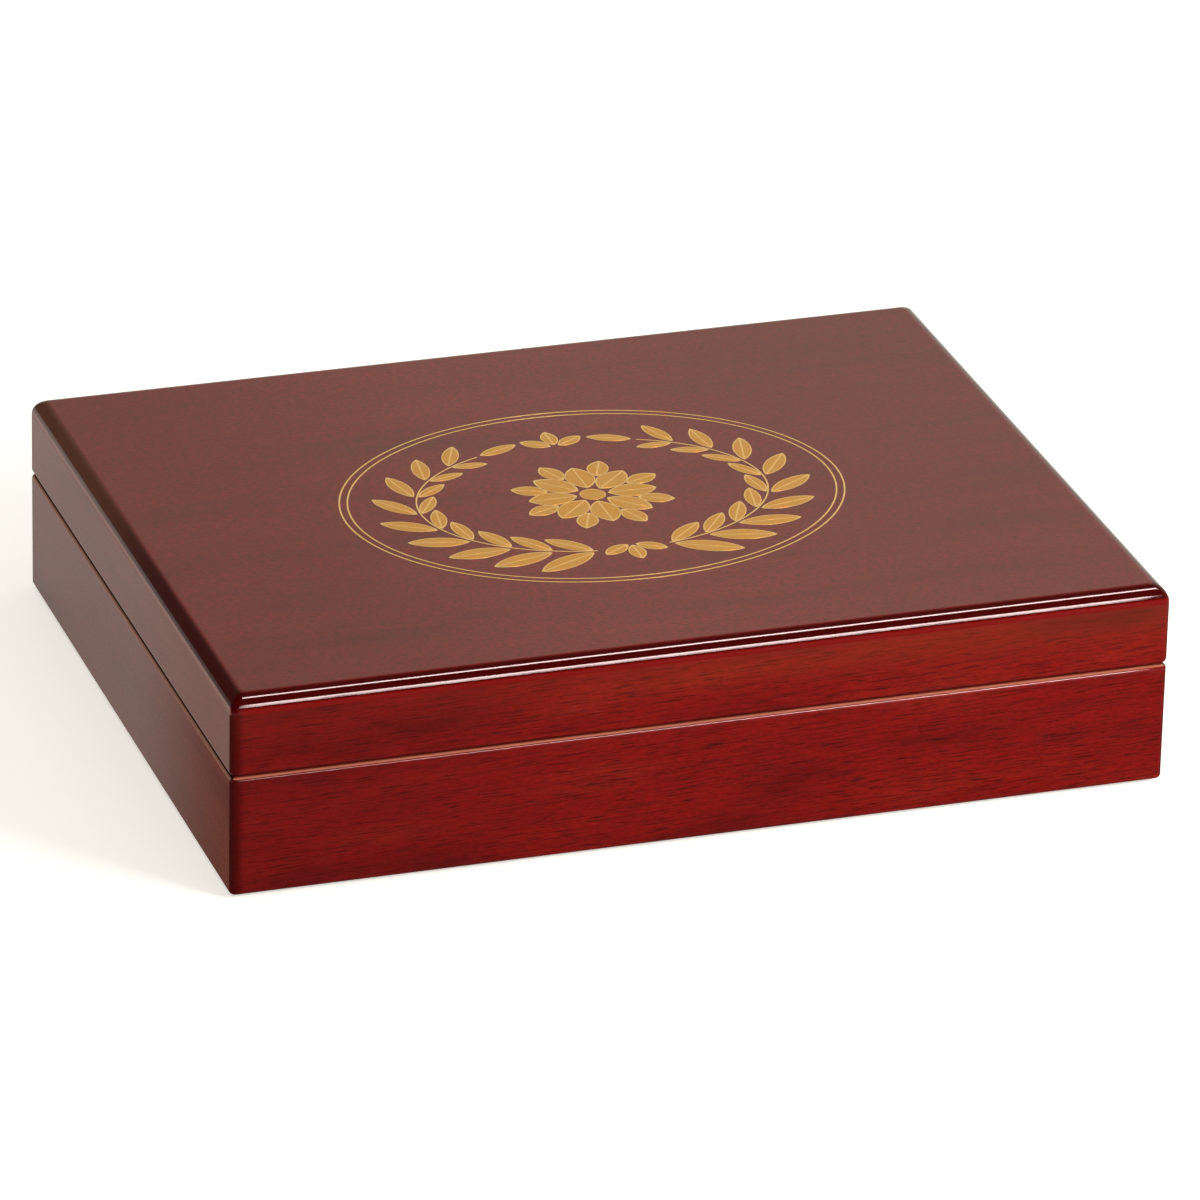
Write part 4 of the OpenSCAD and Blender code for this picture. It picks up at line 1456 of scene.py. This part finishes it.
@dataclass
class Hygrometer:
    """The dial in the lid, whose scale runs clockwise.

    Attributes:
        sweep: Angle of the whole scale.
        full: The scale's last reading.
        upright: The reading at the dial's top.
        numbered: Step between numbers.
        stressed: Step between long ticks.
        ticked: Step between ticks.
        ideal: Readings of the green band.
        ink: Thickness of the print.
    """

    sweep: float = math.radians(270)
    full: int = 100
    upright: int = 50
    numbered: int = 20
    stressed: int = 10
    ticked: int = 2
    ideal: tuple[int, int] = (65, 75)
    ink: float = 0.02 * MM

    # Outer ends of the ticks, and length and width of short ticks and of long ones
    TICK_OUTER = 15.2 * MM
    SHORT_TICK = (1.0 * MM, 0.18 * MM)
    LONG_TICK = (2.0 * MM, 0.36 * MM)
    # Where the numbers and the unit stand, the numbers' height, and its share of the font's size
    NUMBER_RADIUS, UNIT_RADIUS = 10.6 * MM, 9.54 * MM
    NUMBER_HEIGHT, CAPITAL = 3.0 * MM, 0.7
    # Radii of the green band, and its steps
    BAND, BAND_STEPS = (15.5 * MM, 16.3 * MM), 12

    def dress(self) -> None:
        """Give the gauge its metals, glass and paints."""
        dress_nodes(BRASS, "hygrometer_case", "hygrometer_bezel")
        dress_nodes(GLASS, "hygrometer_glass")
        dress_nodes(DIAL_CARD, "hygrometer_dial")
        dress_nodes(NEEDLE_PAINT, "hygrometer_needle")
        dress_nodes(STEEL, "hygrometer_coil")

    def angle(self, reading: float) -> float:
        """Give a reading's angle, anticlockwise from the dial's right as the reader sees it."""
        return math.pi / 2 - self.sweep * (reading - self.upright) / self.full

    def build(self) -> bpy.types.Object:
        """Print the scale on the dial, which faces down and has its top to the front.

        Returns:
            The print.
        """
        bm = bmesh.new()
        for reading in range(0, self.full + 1, self.ticked):
            length, width = self.SHORT_TICK if reading % self.stressed else self.LONG_TICK
            tick = add_rectangle(bm, length, width, (self.TICK_OUTER - length / 2, 0, 0))
            bmesh.ops.rotate(bm, matrix=Matrix.Rotation(self.angle(reading), 3, "Z"), verts=tick)
        for reading in range(0, self.full + 1, self.numbered):
            self._add_text(bm, str(reading), self.NUMBER_RADIUS, self.angle(reading))
        self._add_text(bm, "%", self.UNIT_RADIUS, -math.pi / 2)
        self._add_band(bm)
        dial_low, dial_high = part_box("hygrometer_dial")
        middle = (dial_low + dial_high) / 2
        place = Matrix.Translation((middle.x, middle.y, dial_low.z - self.ink))
        bmesh.ops.transform(bm, matrix=place @ Matrix.Rotation(math.pi, 4, "X"), verts=bm.verts)
        for face in bm.faces:
            if face.normal.z > 0:
                face.normal_flip()
        return add_piece("dial_print", bm, [INK, IDEAL_INK], "lid")

    def _add_text(self, bm: BMesh, text: str, radius: float, angle: float) -> None:
        """Add a number of the scale, upright.

        Args:
            bm: The print.
            text: What it says.
            radius: Its distance from the middle.
            angle: Where it stands.
        """
        curve = bpy.data.curves.new("dial_number", "FONT")
        curve.body = text
        curve.size = self.NUMBER_HEIGHT / self.CAPITAL
        curve.align_x, curve.align_y = "CENTER", "CENTER"
        letters = bpy.data.objects.new("dial_number", curve)
        mesh = bpy.data.meshes.new_from_object(letters)
        mesh.transform(Matrix.Translation((radius * math.cos(angle), radius * math.sin(angle), 0)))
        bm.from_mesh(mesh)
        bpy.data.objects.remove(letters)
        bpy.data.curves.remove(curve)
        bpy.data.meshes.remove(mesh)

    def _add_band(self, bm: BMesh) -> None:
        """Add the green band over the readings that suit the contents.

        Args:
            bm: The print.
        """
        first, last = (self.angle(reading) for reading in self.ideal)
        ends = [bm.verts.new((radius * math.cos(first), radius * math.sin(first), 0)) for radius in self.BAND]
        edge = bm.edges.new(ends)
        bmesh.ops.spin(bm, geom=[*ends, edge], cent=(0, 0, 0), axis=(0, 0, 1), angle=last - first,
                       steps=self.BAND_STEPS)
        bm.faces.ensure_lookup_table()
        for face in bm.faces[-self.BAND_STEPS:]:
            face.material_index = 1


@dataclass
class Humidifier:
    """The magnet-held humidifier and its foam.

    Attributes:
        edge: Softness of the foam's edges.
        edge_steps: Steps of an edge.
        crown: How far its faces swell.
        long_edge: Length over which an edge is cut up for that.
        cuts: Cuts in such an edge.
    """

    edge: float = 1.6 * MM
    edge_steps: int = 4
    crown: float = 0.25 * MM
    long_edge: float = 6 * MM
    cuts: int = 9

    def dress(self) -> None:
        """Give the tray and cover black plastic and the strip and magnets steel."""
        dress_nodes(PLASTIC, "humidifier_tray", "humidifier_cover")
        dress_nodes(STEEL, "humidifier_strip", "humidifier_magnets")

    def build(self) -> bpy.types.Object:
        """Build the foam: a soft-edged block, slightly crowned where it is free.

        Returns:
            The foam.
        """
        low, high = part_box("humidifier_foam")
        size, middle = high - low, (low + high) / 2
        bm = bmesh.new()
        bmesh.ops.create_cube(bm, size=1)
        bmesh.ops.scale(bm, vec=size - Vector((0, 0, 2 * self.crown)), verts=bm.verts)
        bmesh.ops.bevel(bm, geom=bm.edges[:], offset=self.edge, offset_type="OFFSET", affect="EDGES",
                        segments=self.edge_steps, profile=0.5, material=-1)
        bmesh.ops.triangulate(bm, faces=[f for f in bm.faces if len(f.verts) > 4])
        bmesh.ops.subdivide_edges(bm, edges=[e for e in bm.edges if e.calc_length() > self.long_edge],
                                  cuts=self.cuts, use_grid_fill=True)
        for vert in bm.verts:
            across = (1 - (2 * vert.co.x / size.x) ** 2) * (1 - (2 * vert.co.y / size.y) ** 2)
            vert.co.z += math.copysign(self.crown * max(across, 0.0), vert.co.z)
        bmesh.ops.translate(bm, vec=middle, verts=bm.verts)
        bmesh.ops.recalc_face_normals(bm, faces=bm.faces)
        foam = add_piece("humidifier_foam_block", bm, [FOAM], "humidifier", crease=SOFT_CREASE)
        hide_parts("humidifier_foam")
        return foam


@dataclass
class BaseFelt:
    """The felt glued under the base, cut as one sheet with round corners.

    Attributes:
        edge: Softness of its cut edge.
        edge_steps: Steps of that edge.
        even: Difference in height up to which an edge counts as level.
    """

    edge: float = 0.25 * MM
    edge_steps: int = 3
    even: float = 0.01 * MM

    def build(self) -> bpy.types.Object:
        """Build the felt in place of its CAD node.

        Returns:
            The felt.
        """
        low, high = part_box("felt_base")
        size = high - low
        bm = bmesh.new()
        face = rounded_plate(bm, size.x, size.y, low.z)
        raise_face(bm, face, size.z)
        outline = [e for e in bm.edges if abs(e.verts[0].co.z - e.verts[1].co.z) < self.even]
        bmesh.ops.bevel(bm, geom=outline, offset=self.edge, offset_type="OFFSET", affect="EDGES",
                        segments=self.edge_steps, profile=0.5, material=-1)
        bmesh.ops.recalc_face_normals(bm, faces=bm.faces)
        felt = add_piece("felt_sheet", bm, [FELT], "base", crease=SOFT_CREASE)
        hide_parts("felt_base")
        return felt


def main() -> None:
    """Set up the studio, then build and dress each sub-assembly in turn."""
    logging.basicConfig(level=logging.INFO, format="%(name)s: %(message)s")
    PhotoCamera().build()
    Studio().build()
    Case().dress()
    LidPanel().build()
    GoldOrnament().build()
    CedarLining().dress()
    QuadrantHinges().dress()
    hygrometer = Hygrometer()
    hygrometer.dress()
    hygrometer.build()
    humidifier = Humidifier()
    humidifier.dress()
    humidifier.build()
    BaseFelt().build()


if __name__ == "__main__":
    main()
